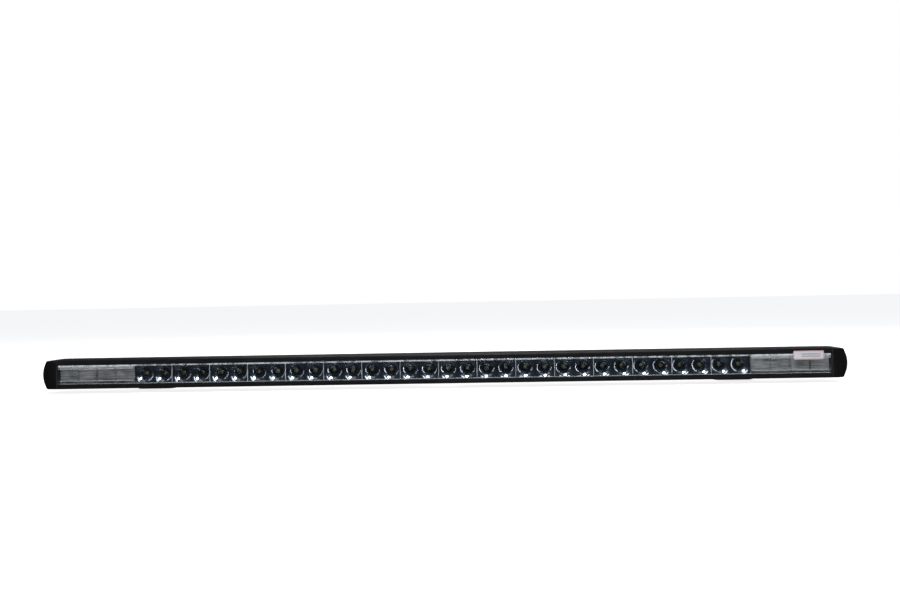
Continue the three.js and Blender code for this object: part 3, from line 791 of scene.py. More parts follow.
@dataclass(frozen=True)
class ClearCover(Finish):
    """Hard-coated clear polycarbonate, with painted highlights in white at its moulded rim and in bands over
    the frosted optics.
    """

    tint: Colour = (0.93, 0.955, 0.97, 1.0)
    # the white of the painted highlights
    highlight_colour: Colour = (0.75, 0.78, 0.8, 1.0)
    reflection: float = 0.025  # of light that meets a face square on
    gloss: float = 0.03  # the reflection's roughness
    dust: float = 0.012
    middle_height: float = 0.0
    half_length: float = 20 * CELL
    clear_half: float = 16 * CELL  # half of the length that has no frosted optics behind it
    rim_start: float = 10.4 * MM  # from mid-height to where the upper rim's painted highlight starts
    foot_start: float = 11.4 * MM  # from mid-height down to where the lower rim's painted highlight starts
    # the strength of all the painted highlights
    rim_light: float = 0.4
    band_start: float = 6.9 * MM  # the lower edge of the painted highlight band over the frosted optics, from mid-height
    band_line: float = 8.7 * MM  # the line within that band where the painted highlight is fainter
    # a thin painted highlight line over the frosted optics, from mid-height
    low_line: float = -8.3 * MM

    def make(self, graph: Graph) -> bpy.types.Material:
        """Builds the material: a clear and a glossy surface by the angle they are seen at, then the painted
        highlights in white.

        Args:
            graph: The new material's empty graph.

        Returns:
            The finished material.
        """
        facing = Value(graph, graph.add("ShaderNodeLayerWeight", inputs={"Blend": 0.5}).outputs["Facing"])
        grazing = graph.math("POWER", facing, 5.0)
        dust = graph.between(graph.noise(30.0, 5.0), 0.5, 0.8, 0.0, self.dust)
        clear = graph.add("ShaderNodeBsdfTransparent", inputs={"Color": self.tint})
        gloss = graph.add("ShaderNodeBsdfAnisotropic", inputs={"Color": WHITE, "Roughness": self.gloss})
        coated = graph.blend(grazing + self.reflection + dust, clear, gloss)
        # white for the painted highlights
        white = graph.add("ShaderNodeBsdfDiffuse", inputs={"Color": self.highlight_colour})
        return graph.finish(graph.blend(self.painted_highlight(graph), coated, white))

    def painted_highlight(self, graph: Graph) -> Value:
        """How much painted highlight, in white, each point of the cover has.

        Args:
            graph: The material's graph.

        Returns:
            The share of painted highlight, from 0 to 1.
        """
        place = graph.place()
        along = abs(place[Axis.X])
        up = place[Axis.Z] - self.middle_height
        # painted highlights in white: dashed along the upper rim, fainter along the lower rim, and a band
        # and a thin line over the frosted optics
        highlight_dashes = graph.between(graph.noise(190.0, 1.0, (1.0, 0.05, 0.05)), 0.35, 0.62, 0.25, 1.0)
        rim = graph.rise(up, self.rim_start, 0.6 * MM) * highlight_dashes
        foot = graph.fall(up, -self.foot_start - 0.6 * MM, 0.6 * MM) * 0.5
        line = graph.between(abs(up - self.band_line), 0.25 * MM, 0.5 * MM, 0.35, 1.0)
        band = graph.rise(up, self.band_start, 0.3 * MM) * line * 0.45
        low = graph.fall(abs(up - self.low_line), 0.35 * MM, 0.25 * MM) * 0.4
        optics_highlight = graph.rise(along, self.clear_half, 0.3 * MM) * (band + low)
        within = graph.fall(along, self.half_length, 0.5 * MM)
        return (rim + foot + optics_highlight) * within * self.rim_light


@dataclass(frozen=True)
class Frosted(Finish):
    """Frosted polycarbonate with fine streaks along the bar."""

    colour: Colour = (0.52, 0.495, 0.48, 1.0)
    shade: Colour = (0.12, 0.115, 0.11, 1.0)
    metallic: float = 0.5  # a silvery sheen, as of the coat behind it
    streak_depth: float = 0.3 * MM

    def make(self, graph: Graph) -> bpy.types.Material:
        """Builds the material from streaks and soft clouds.

        Args:
            graph: The new material's empty graph.

        Returns:
            The finished material.
        """
        streaks = graph.noise(260.0, 4.0, (0.12, 1.0, 3.0))
        cloud = graph.noise(70.0, 3.0)
        return graph.principled(
            Base_Color=graph.mix(graph.between(streaks + cloud * 0.6, 0.55, 1.05), self.shade, self.colour),
            Roughness=graph.between(streaks, 0.3, 0.7, 0.3, 0.45),
            Metallic=self.metallic,
            IOR=1.45,
            Normal=graph.bump(streaks, self.streak_depth, 0.5),
        )


@dataclass(frozen=True)
class Phosphor(Finish):
    """The yellow phosphor over an LED's chip, under its silicone dome."""

    colour: Colour = (0.78, 0.56, 0.08, 1.0)
    rim: Colour = (0.62, 0.52, 0.22, 1.0)
    grain_depth: float = 0.02 * MM

    def make(self, graph: Graph) -> bpy.types.Material:
        """Builds the material from a fine grain under a clear coat.

        Args:
            graph: The new material's empty graph.

        Returns:
            The finished material.
        """
        grain = graph.noise(4200.0, 2.0)
        return graph.principled(
            Base_Color=graph.mix(graph.between(grain, 0.35, 0.7), self.colour, self.rim),
            Roughness=0.3,
            Coat_Weight=0.8,
            Coat_Roughness=0.05,
            Normal=graph.bump(grain, self.grain_depth, 0.3),
        )


@dataclass(frozen=True)
class Sticker(Finish):
    """A white sticker with a thin border and two plain bars, laid out about its own middle."""

    middle: Point = (0.0, 0.0, 0.0)
    half: tuple[float, float] = (1.0, 1.0)
    paper: Colour = (0.46, 0.445, 0.47, 1.0)
    border: Colour = (0.42, 0.1, 0.07, 1.0)
    ink: Colour = (0.07, 0.07, 0.1, 1.0)
    margin: float = 0.7 * MM  # from the edge to the border's middle
    border_half: float = 0.25 * MM
    bar_height: float = 1.4 * MM  # from mid-height to each bar's middle
    bar_half: tuple[float, float] = (12 * MM, 0.75 * MM)
    bar_shift: float = 3 * MM
    print_blur: float = 0.12 * MM
    fibre_depth: float = 0.01 * MM

    def make(self, graph: Graph) -> bpy.types.Material:
        """Builds the material from fibrous paper, a border and the bars.

        Args:
            graph: The new material's empty graph.

        Returns:
            The finished material.
        """
        place = graph.place()
        from_middle = place[Axis.X] - self.middle[0]
        up = abs(place[Axis.Z] - self.middle[2])
        to_edge = graph.math("MINIMUM", self.half[0] - abs(from_middle), self.half[1] - up)
        line = graph.fall(abs(to_edge - self.margin), self.border_half, self.print_blur)
        bars = graph.fall(abs(up - self.bar_height), self.bar_half[1], self.print_blur)
        within = graph.fall(abs(from_middle - self.bar_shift), self.bar_half[0], self.print_blur)
        fibres = graph.noise(900.0, 3.0)
        plain = graph.mix(graph.between(fibres, 0.3, 0.7, 0.0, 0.12), self.paper, self.ink)
        printed = graph.mix(bars * within * 0.5, plain, self.ink)
        return graph.principled(
            Base_Color=graph.mix(line * 0.85, printed, self.border),
            Roughness=graph.between(fibres, 0.3, 0.7, 0.38, 0.5),
            IOR=1.4,
            Normal=graph.bump(fibres, self.fibre_depth, 0.3),
        )


@dataclass(frozen=True)
class CircuitBoard(Finish):
    """A solder mask with the faint relief of the tracks under it."""

    mask: Colour = (0.6, 0.6, 0.56, 1.0)
    track: Colour = (0.5, 0.5, 0.47, 1.0)
    track_depth: float = 0.03 * MM

    def make(self, graph: Graph) -> bpy.types.Material:
        """Builds the material from square-cornered tracks.

        Args:
            graph: The new material's empty graph.

        Returns:
            The finished material.
        """
        inputs = {"Vector": graph.point(), "Scale": 240.0}
        cells = graph.add("ShaderNodeTexVoronoi", {"distance": "MANHATTAN"}, inputs)
        tracks = graph.between(Value(graph, cells.outputs["Distance"]), 0.3, 0.42)
        return graph.principled(
            Base_Color=graph.mix(tracks, self.mask, self.track),
            Roughness=graph.between(tracks, 0.0, 1.0, 0.35, 0.45),
            Normal=graph.bump(tracks, self.track_depth, 0.5),
        )


class Finishes:
    """Every finish of the bar, by what it is on."""

    HOUSING = Anodised("satin_black_anodising", "housing_anodised")
    CAP = Textured(
        "satin_black_cap_coat",
        "end_cap_black",
        colour=(0.002, 0.002, 0.0022, 1.0),
        pale=(0.005, 0.005, 0.0055, 1.0),
        grain=3200.0,
        depth=0.03 * MM,
        ior=1.22,
    )
    POWDER = Textured(
        "black_powder_coat",
        "bracket_black",
        pale=(0.03, 0.03, 0.03, 1.0),
        roughness=0.5,
        grain=1500.0,
        depth=0.09 * MM,
    )
    NYLON = Textured("moulded_black_nylon", "gland_nylon", roughness=0.5, grain=1900.0, depth=0.05 * MM)
    RUBBER = Textured("black_silicone_seal", "seal_rubber", roughness=0.75, grain=3000.0, depth=0.02 * MM)
    SHEATH = Textured("black_lead_sheath", "lead_sheath", roughness=0.55, grain=2400.0, depth=0.03 * MM)
    STEEL = Steel("screw_steel_satin", "screw_steel")
    MIRROR = MirrorCoat("mirror_reflector_coat", "reflector_chrome")
    SATIN_MIRROR = MirrorCoat("satin_reflector_coat", "reflector_satin", roughness=0.25)
    DIFFUSER = Frosted("frosted_optic", "diffuser_frosted")
    PHOSPHOR = Phosphor("led_phosphor", "led_board_white")
    LED_BOARD = CircuitBoard("white_led_board", "led_board_white")
    DRIVER = CircuitBoard(
        "green_driver_board",
        "driver_board_green",
        mask=(0.012, 0.07, 0.03, 1.0),
        track=(0.02, 0.12, 0.05, 1.0),
    )


def dress(piece: Piece, finish: Finish, body: Body, *nodes: str) -> None:
    """Gives a new piece its finish and its body, and says which CAD nodes it stands for.

    Args:
        piece: The piece.
        finish: What it is finished in.
        body: The body that it rides on.
        nodes: The CAD nodes that it replaces.
    """
    piece.data.materials.clear()
    piece.data.materials.append(finish.material())
    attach(piece, body.value)
    if nodes:
        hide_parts(*nodes)
    LOG.info("%s: %d faces, %s", piece.name, len(piece.data.polygons), finish.name)


def dress_node(node: str, finish: Finish) -> None:
    """Gives a CAD node, which stays as it is, its finish.

    Args:
        node: The CAD node.
        finish: What it is finished in.
    """
    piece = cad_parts[node]
    piece.data.materials.clear()
    piece.data.materials.append(finish.material())
    LOG.info("%s: CAD node, %s", node, finish.name)


def refine(node: str, name: str, finish: Finish, body: Body, radius: float, segments: int = 3) -> None:
    """Remakes a CAD node with a fine radius on its sharp edges, and dresses it.

    Args:
        node: The CAD node.
        name: The new piece's name.
        finish: What it is finished in.
        body: The body that it rides on.
        radius: The edges' radius, in metres.
        segments: How many strips the radius is made of.
    """
    dress(soften(copy_of_node(node, name), radius, segments), finish, body, node)


# ---- The bar's own parts ----


@dataclass
class Housing:
    """The extruded housing, with a fine radius on every edge of its bezel, fins and T-slot."""

    edge_radius: float = 0.25 * MM

    def build(self) -> None:
        """Makes and dresses the housing."""
        refine("housing", "housing_shell", Finishes.HOUSING, Body.BAR, self.edge_radius, 2)


@dataclass
class EndCaps:
    """The two end caps: bowed outwards, rounded in plan, with four counterbored screw holes each."""

    bar: Box
    bow_radius: float = 34 * MM
    corner: float = 3 * MM
    front_radius: float = 6 * MM
    rear_radius: float = 7 * MM
    long_edge: float = 1.5 * MM
    fine_edge: float = 0.3 * MM
    screw_clearance: float = 0.3 * MM
    counterbore: float = 2.2 * MM
    screws: int = 4

    def reach(self, length: float, height: float) -> float:
        """How far out a cap reaches at a height from its middle.

        Args:
            length: The cap's length at mid-height.
            height: The height, either way from the middle.

        Returns:
            The reach from the cap's inner face.
        """
        straight = self.bar.size.z / 2 - self.corner
        up = min(abs(height), straight)
        bowed = length - self.bow_radius + math.sqrt(self.bow_radius**2 - up**2)
        over = min(max(abs(height) - straight, 0.0) / self.corner, 1.0)
        return bowed - self.corner * (1 - math.sqrt(1 - over**2))

    def rows(self) -> list[float]:
        """Places the cap's loops, closer together where it curves more.

        Returns:
            The loops' heights from the cap's middle.
        """
        straight = self.bar.size.z / 2 - self.corner
        inner = [straight * i / 8 for i in range(9)]
        angles = (15, 30, 42, 54, 65, 75, 83, 90)
        outer = [straight + self.corner * math.sin(math.radians(angle)) for angle in angles]
        return sorted({round(sign * z, 7) for z in inner + outer for sign in (-1, 1)})

    def right_cap(self) -> Piece:
        """Makes the right-hand cap, without its screw holes.

        Returns:
            The cap, undressed.
        """
        box = Box.of("right_end_cap")
        cap = add_box("right_cap", box.low, box.high)
        for y, radius in ((box.low.y, self.front_radius), (box.high.y, self.rear_radius)):
            bevel_edges(cap, lambda e: lies_at(e, Axis.X, box.high.x) and lies_at(e, Axis.Y, y), radius, 10)
        base = self.bar.middle.z
        places = [base + z for z in self.rows()]
        cut_rows(cap, Axis.Z, places[1:-1])
        depth = box.size.y / 2
        length = box.size.x
        half = self.bar.size.z / 2

        def scale(place: float) -> Point:
            """A loop's scale: its reach outwards, and its draw-in at the long edges."""
            over = max(abs(place - base) - (half - self.long_edge), 0.0)
            inset = self.long_edge - math.sqrt(max(self.long_edge**2 - over**2, 0.0))
            return (self.reach(length, place - base) / length, (depth - inset) / depth, 1.0)

        shape_rows(cap, Axis.Z, places, scale, (box.low.x, box.middle.y, base))
        return cap

    def build(self) -> None:
        """Makes and dresses both caps."""
        cap = self.right_cap()
        for number in range(1, self.screws + 1):
            screw = Box.of(f"right_cap_screw_{number}")
            radius = screw.size.z / 2 + self.screw_clearance
            seat = (screw.high.x - self.counterbore, screw.middle.y, screw.middle.z)
            combine(cap, add_rod("hole", radius, seat, 20 * MM, Axis.X, 40), Carve.CUT)
        soften(cap, self.fine_edge, 2, 45.0)
        left = mirror_copy(cap, "left_cap")
        dress(cap, Finishes.CAP, Body.BAR, "right_end_cap")
        dress(left, Finishes.CAP, Body.BAR, "left_end_cap")


@dataclass
class CapScrews:
    """The eight button-headed screws, each with a six-sided socket."""

    head_height: float = 1.9 * MM
    head_rounding: float = 0.9 * MM
    shank: float = 1.4 * MM
    socket: float = 1.15 * MM
    socket_depth: float = 1.1 * MM
    count: int = 4

    def screw(self, box: Box) -> Piece:
        """Makes one screw.

        Args:
            box: The box of the CAD screw that it stands for.

        Returns:
            The screw, undressed.
        """
        y, z = box.middle.y, box.middle.z
        under_head = box.high.x - self.head_height
        head = add_rod("cap_screw", box.size.z / 2, (under_head, y, z), self.head_height, Axis.X)
        bevel_edges(head, lambda e: lies_at(e, Axis.X, box.high.x), self.head_rounding, 4)
        length = under_head - box.low.x
        combine(head, add_rod("shank", self.shank, (box.low.x, y, z), length, Axis.X, 20), Carve.ADD)
        start = (box.high.x - self.socket_depth, y, z)
        combine(head, add_rod("socket", self.socket, start, 3 * MM, Axis.X, 6), Carve.CUT)
        return smooth(head, 30.0)

    def build(self) -> None:
        """Makes one screw and copies it to its eight places."""
        first = Box.of("right_cap_screw_1")
        maker = self.screw(first)
        for side in Side:
            for number in range(1, self.count + 1):
                node = f"{side.word}_cap_screw_{number}"
                offset = Box.of(node).low - first.low
                if side is Side.RIGHT:
                    screw = copy_piece(maker, f"{node}_steel", offset)
                else:
                    screw = mirror_copy(maker, f"{node}_steel", (0, offset.y, offset.z))
                dress(screw, Finishes.STEEL, Body.BAR, node)
        discard(maker)


@dataclass
class Lens:
    """The clear cover: a flange that sits in the housing's grooves, and a raised face with round edges."""

    flange: float = 2.2 * MM
    face_inset: float = 2.3 * MM
    bevel: float = 0.8 * MM

    def build(self) -> None:
        """Makes and dresses the lens."""
        box = Box.of("lens")
        step = box.high.y - self.flange
        bottom, top = box.low.z + self.face_inset, box.high.z - self.face_inset
        lens = add_box("lens_cover", (box.low.x, step, box.low.z), box.high)
        cut_rows(lens, Axis.Z, (bottom, top))

        def is_face(part: bmesh.types.BMFace) -> bool:
            """Whether a face is the one that is raised."""
            middle = part.calc_center_median()
            return near(middle.y, step) and bottom < middle.z < top

        with editing(lens):
            select(lens, Pick.FACES, is_face)
            bpy.ops.mesh.extrude_region_move(TRANSFORM_OT_translate={"value": (0, box.low.y - step, 0)})
        bevel_edges(lens, lambda e: lies_at(e, Axis.Y, box.low.y) and is_square_to(e, Axis.Z), self.bevel, 8)
        finish = ClearCover("clear_lens", "lens_clear", middle_height=box.middle.z)
        dress(smooth(lens, 30.0), finish, Body.BAR, "lens")


# ---- Optics ----


@dataclass
class Reflectors:
    """The row of reflector modules, each with two flared bowls."""

    modules: int = 20
    wall: float = 0.7 * MM
    divider: float = 0.15 * MM  # half of the wall between a module's own two bowls
    frame_radius: float = 0.45 * MM
    rim_radius: float = 17.3 * MM  # past the cell's corners
    throat: float = 3.2 * MM  # where the flare turns into the deep cup
    led_hole: float = 2.55 * MM
    # The flare's slope from square to the axis: radii in mm, from the rim inwards, and degrees.
    flare: tuple[tuple[float, float], ...] = (
        (17.3, 8.0), (12.0, 24.0), (9.6, 36.0), (5.0, 46.0), (3.2, 66.0)
    )
    flare_rings: int = 18
    cup_rings: int = 8
    bowl_sides: int = 64

    def tilt(self, radius: float) -> float:
        """The flare's slope at a radius.

        Args:
            radius: The radius, in millimetres.

        Returns:
            The slope, in radians from square to the axis.
        """
        for (outer, low), (inner, high) in zip(self.flare, self.flare[1:]):
            if radius >= inner:
                return math.radians(low + (high - low) * (outer - radius) / (outer - inner))
        return math.radians(self.flare[-1][1])

    def profile(self, front: float, back: float) -> list[tuple[float, float]]:
        """A bowl's rings from its rim to its LED, as places along the axis and radii.

        Args:
            front: The module's front face.
            back: The module's back face.

        Returns:
            The rings: a flare that steepens inwards, then a deep cup down to the LED's hole.
        """
        rings = [(front, self.rim_radius)]
        rim, throat = self.rim_radius / MM, self.throat / MM
        place = front / MM
        for i in range(self.flare_rings):
            outer = rim + (throat - rim) * i / self.flare_rings
            inner = rim + (throat - rim) * (i + 1) / self.flare_rings
            place += (outer - inner) * math.tan(self.tilt((outer + inner) / 2))
            rings.append((place * MM, inner * MM))
        start = place * MM
        for i in range(1, self.cup_rings + 1):
            share = i / self.cup_rings
            area = self.throat**2 + (self.led_hole**2 - self.throat**2) * share
            rings.append((start + (back - start) * share, math.sqrt(area)))
        return rings

    def bowl(self, axis: Point, module: Box, sign: int) -> Piece:
        """Makes the hollow of one bowl, cut square to its cell.

        Args:
            axis: The point where the bowl's axis meets the module's front.
            module: The module's box.
            sign: -1 for the module's left cell, 1 for its right one.

        Returns:
            The hollow as a solid.
        """
        over = 0.5 * MM  # past the module, in front and behind
        front, back = module.low.y, module.high.y
        radii = dict(self.profile(front, back))
        start = (axis[0], front - over, axis[2])
        hollow = add_rod("bowl", self.rim_radius, start, back - front + 2 * over, Axis.Y, self.bowl_sides)
        cut_rows(hollow, Axis.Y, list(radii))
        radii[back + over] = self.led_hole

        def scale(place: float) -> Point:
            """A ring's scale, from its radius."""
            return (radii[place] / self.rim_radius, 1.0, radii[place] / self.rim_radius)

        shape_rows(hollow, Axis.Y, list(radii), scale, axis)
        sides = sorted((module.middle.x + sign * x for x in (self.divider, CELL - self.wall)))
        low = (sides[0], front - 2 * over, module.low.z + self.wall)
        high = (sides[1], back + 2 * over, module.high.z - self.wall)
        return combine(hollow, add_box("cell", low, high), Carve.KEEP_INSIDE)

    def module(self, name: str, node: str) -> Piece:
        """Makes one reflector module in a CAD module's place.

        Args:
            name: The piece's name.
            node: The CAD module.

        Returns:
            The module, undressed.
        """
        box = Box.of(node)
        module = add_box(name, box.low, box.high)
        bevel_edges(module, lambda e: lies_at(e, Axis.Y, box.low.y), self.frame_radius, 4)
        for sign in (-1, 1):
            axis = (box.middle.x + sign * CELL / 2, box.low.y, box.middle.z)
            combine(module, self.bowl(axis, box, sign), Carve.CUT)
        return smooth(module, 12.0)


@dataclass
class FrostedOptic:
    """One frosted optic: a plate with a sloped and fluted panel over each of its two cells."""

    set_back: float = 1.8 * MM  # from the panels' faces to the plate
    inset: float = 0.25 * MM
    top_slope: float = 4.6 * MM
    bottom_slope: float = 2.6 * MM
    side_slope: float = 1.3 * MM
    flute: float = 0.95 * MM
    flute_depth: float = 0.045 * MM

    def make(self, name: str, node: str) -> Piece:
        """Makes the optic in a CAD optic's place.

        Args:
            name: The piece's name.
            node: The CAD optic.

        Returns:
            The optic, undressed.
        """
        box = Box.of(node)
        face, front, middle = box.low.y, box.low.y + self.set_back, box.middle.x
        plate = add_box(name, (box.low.x, front, box.low.z), box.high)
        cut_rows(plate, Axis.X, [middle])
        with editing(plate):
            select(plate, Pick.FACES, lambda f: near(f.calc_center_median().y, front))
            bpy.ops.mesh.inset(thickness=self.inset, use_individual=True)
            bpy.ops.mesh.extrude_region_move(TRANSFORM_OT_translate={"value": (0, -self.set_back, 0)})
        bottom, top = box.low.z + self.inset, box.high.z - self.inset
        outer = box.size.x / 2 - self.inset
        moves = [(Axis.Z, top, -self.top_slope), (Axis.Z, bottom, self.bottom_slope)]
        for sign in (-1, 1):
            moves.append((Axis.X, middle + sign * self.inset, sign * self.side_slope))
            moves.append((Axis.X, middle + sign * outer, -sign * self.side_slope))
        with editing(plate, Pick.VERTS):
            for axis, place, step in moves:
                if select(plate, Pick.VERTS, lambda v: near(v.co.y, face) and near(v.co[axis.value], place)):
                    bpy.ops.transform.translate(value=axis.vector * step)
        self.cut_flutes(plate, face, bottom + self.bottom_slope, top - self.top_slope)
        return smooth(plate, 9.0)

    def cut_flutes(self, plate: Piece, face: float, bottom: float, top: float) -> None:
        """Cuts fine flutes along the bar into the panels' faces.

        Args:
            plate: The optic.
            face: The panels' front face.
            bottom: The face's lower edge.
            top: The face's upper edge.
        """
        count = 2 * round((top - bottom) / self.flute / 2)
        rows = [bottom + (top - bottom) * i / count for i in range(1, count)]
        cut_rows(plate, Axis.Z, rows)
        with editing(plate, Pick.VERTS):
            for row in rows[::2]:
                if select(plate, Pick.VERTS, lambda v: near(v.co.y, face) and near(v.co.z, row)):
                    bpy.ops.transform.translate(value=(0, self.flute_depth, 0))


@dataclass
class LedBoards:
    """The two LED boards, each with twenty LEDs under yellow domes."""

    count: int = 20
    led_rise: float = 1.4 * MM  # from the CAD board's front, with its LEDs, to the board itself
    base_half: float = 1.75 * MM
    base_height: float = 0.8 * MM
    sunk: float = 0.02 * MM  # what keeps faces that would meet a little apart
    dome_radius: float = 1.45 * MM
    edge: float = 0.15 * MM

    def dome(self, front: float, height: float) -> Piece:
        """Makes one LED's dome, at the middle of the bar.

        Args:
            front: The board's front face.
            height: The LEDs' height.

        Returns:
            The dome, undressed.
        """
        deselect()
        centre = (0, front - self.base_height, height)
        bpy.ops.mesh.primitive_uv_sphere_add(
            segments=20, ring_count=12, radius=self.dome_radius, location=centre
        )
        dome = settle("dome")
        flat = (0, front - self.base_height - self.sunk, 0)
        with editing(dome):
            bpy.ops.mesh.select_all(action="SELECT")
            bpy.ops.mesh.bisect(plane_co=flat, plane_no=(0, 1, 0), clear_outer=True, use_fill=True)
        return smooth(dome, 40.0)

    def build(self) -> None:
        """Makes and dresses both boards and their domes."""
        for side in Side:
            node = f"{side.word}_led_board"
            box = Box.of(node)
            front, height, half = box.high.y - self.led_rise, box.middle.z, self.base_half
            board = add_box(f"{side.word}_board_plate", (box.low.x, front, box.low.z), box.high)
            low = (-half, front - self.base_height, height - half)
            base = soften(add_box("base", low, (half, front - self.sunk, height + half)), self.edge, 2, 35.0)
            dome = self.dome(front, height)
            places = [side.value * (i + 0.5) * CELL for i in range(self.count)]
            bases, domes = (
                [copy_piece(maker, f"{maker.name}_{i}", (x, 0, 0)) for i, x in enumerate(places)]
                for maker in (base, dome)
            )
            discard(base, dome)
            board = join(board.name, [soften(board, self.edge, 2, 35.0), *bases])
            dress(board, Finishes.LED_BOARD, Body.BAR, node)
            dress(join(f"{side.word}_led_domes", domes), Finishes.PHOSPHOR, Body.BAR)


@dataclass
class Optics:
    """The whole row: reflector modules, the frosted optics over the end ones, and the LEDs."""

    reflectors: Reflectors
    frosted_at_each_end: int = 2

    def is_frosted(self, number: int) -> bool:
        """Whether the module of this number, counted from 1, has frosted optics over it."""
        return min(number - 1, self.reflectors.modules - number) < self.frosted_at_each_end

    def build(self) -> None:
        """Makes and dresses the whole row, from one module of each sort and one optic."""
        optic, optic_low = FrostedOptic().make("optic", "diffuser_01"), Box.of("diffuser_01").low
        makers: dict[bool, tuple[Piece, Vector]] = {}
        for number in (1, self.frosted_at_each_end + 1):
            node = f"reflector_{number:02d}"
            makers[self.is_frosted(number)] = (self.reflectors.module("module", node), Box.of(node).low)
        for number in range(1, self.reflectors.modules + 1):
            node = f"reflector_{number:02d}"
            frosted = self.is_frosted(number)
            maker, place = makers[frosted]
            module = copy_piece(maker, f"reflector_module_{number:02d}", Box.of(node).low - place)
            dress(module, Finishes.SATIN_MIRROR if frosted else Finishes.MIRROR, Body.BAR, node)
            if frosted:
                node = f"diffuser_{number:02d}"
                cover = copy_piece(optic, f"frosted_optic_{number:02d}", Box.of(node).low - optic_low)
                dress(cover, Finishes.DIFFUSER, Body.BAR, node)
        discard(optic, *(maker for maker, _ in makers.values()))
        LedBoards().build()


# ---- Fittings ----


@dataclass
class Fittings:
    """The label, the cable gland, the vent, the seals and what is inside the driver's tunnel."""

    label_corner: float = 1.6 * MM
    label_edge: float = 0.08 * MM
    ports: int = 8
    port: float = 0.55 * MM
    port_ring: float = 4.2 * MM
    port_depth: float = 0.9 * MM

    def label(self) -> None:
        """Makes the plain sticker."""
        box = Box.of("label")
        sticker = add_box("plain_label", box.low, box.high)
        bevel_edges(sticker, lambda e: is_square_to(e, Axis.X, Axis.Z), self.label_corner, 8)
        half = (box.size.x / 2, box.size.z / 2)
        finish = Sticker("white_sticker", "label_white", middle=tuple(box.middle), half=half)
        dress(soften(sticker, self.label_edge, 2, 60.0), finish, Body.BAR, "label")

    def vent(self) -> None:
        """Makes the vent, with a ring of ports round its face."""
        box = Box.of("breather_vent")
        vent = copy_of_node("breather_vent", "vent_plug")
        for i in range(self.ports):
            turn = i * math.tau / self.ports
            offset = Vector((math.cos(turn), 0, math.sin(turn))) * self.port_ring
            start = Vector((box.middle.x, box.high.y - self.port_depth, box.middle.z)) + offset
            combine(vent, add_rod("port", self.port, start, 4 * MM, Axis.Y, 12), Carve.CUT)
        dress(soften(vent, 0.25 * MM), Finishes.NYLON, Body.BAR, "breather_vent")

    def build(self) -> None:
        """Makes the fittings, and dresses the hidden CAD nodes that stay."""
        self.label()
        refine("cable_gland", "gland_body", Finishes.NYLON, Body.BAR, 0.35 * MM)
        refine("gland_cap", "gland_nut", Finishes.NYLON, Body.BAR, 0.3 * MM)
        self.vent()
        for finish, nodes in (
            (Finishes.RUBBER, ("lens_gasket", "left_cap_gasket", "right_cap_gasket")),
            (Finishes.SHEATH, ("supply_lead", "led_lead")),
            (Finishes.DRIVER, ("driver_board",)),
        ):
            for node in nodes:
                dress_node(node, finish)


@dataclass
class MountingFeet:
    """The two feet, their sliding brackets and their screws."""

    turned_radius: float = 7.5 * MM
    chamfer: float = 0.9 * MM
    bracket_edge: float = 0.5 * MM
    nut_edge: float = 0.4 * MM
    screw_edge: float = 0.35 * MM
    hex_edge: float = 0.15 * MM

    def hex_piece(self, node: str, name: str) -> Piece:
        """Makes a copy of a hexagonal CAD piece with its corners turned down, as on a real bolt or nut.

        Args:
            node: The CAD node.
            name: The new piece's name.

        Returns:
            The piece, undressed.
        """
        box = Box.of(node)
        piece = copy_of_node(node, name)
        start = (box.low.x, box.middle.y, box.middle.z)
        tool = add_rod("turned", self.turned_radius, start, box.size.x, Axis.X, 48)
        bevel_edges(tool, lambda e: is_square_to(e, Axis.X), self.chamfer, 1)
        return combine(piece, tool, Carve.KEEP_INSIDE)

    def build(self) -> None:
        """Makes and dresses both feet."""
        for side in Side:
            word = side.word
            for part, name, finish, body, edge, segments in (
                ("slide_bracket", "bracket", Finishes.POWDER, side.carriage, self.bracket_edge, 3),
                ("foot", "foot_bracket", Finishes.POWDER, side.foot, self.bracket_edge, 3),
                ("slot_nut", "t_nut", Finishes.STEEL, side.carriage, self.nut_edge, 2),
                ("clamp_screw", "clamp_bolt", Finishes.STEEL, side.carriage, self.screw_edge, 3),
            ):
                refine(f"{word}_{part}", f"{word}_{name}", finish, body, edge, segments)
            for part in ("bolt", "nut"):
                node = f"{word}_hinge_{part}"
                piece = soften(self.hex_piece(node, f"{word}_pivot_{part}"), self.hex_edge)
                dress(piece, Finishes.STEEL, side.foot, node)


# ---- Stage ----


@dataclass(frozen=True)
class Lamp:
    """A soft rectangular lamp that faces a target."""

    name: str
    place: Point
    target: Point
    size: tuple[float, float]
    power: float

    def build(self) -> None:
        """Hangs the lamp."""
        data = bpy.data.lights.new(self.name, "AREA")
        data.shape = "RECTANGLE"
        data.size, data.size_y = self.size
        data.energy = self.power
        lamp = bpy.data.objects.new(self.name, data)
        lamp.location = self.place
        lamp.rotation_euler = (Vector(self.target) - Vector(self.place)).to_track_quat("-Z", "Y").to_euler()
        bpy.context.scene.collection.objects.link(lamp)


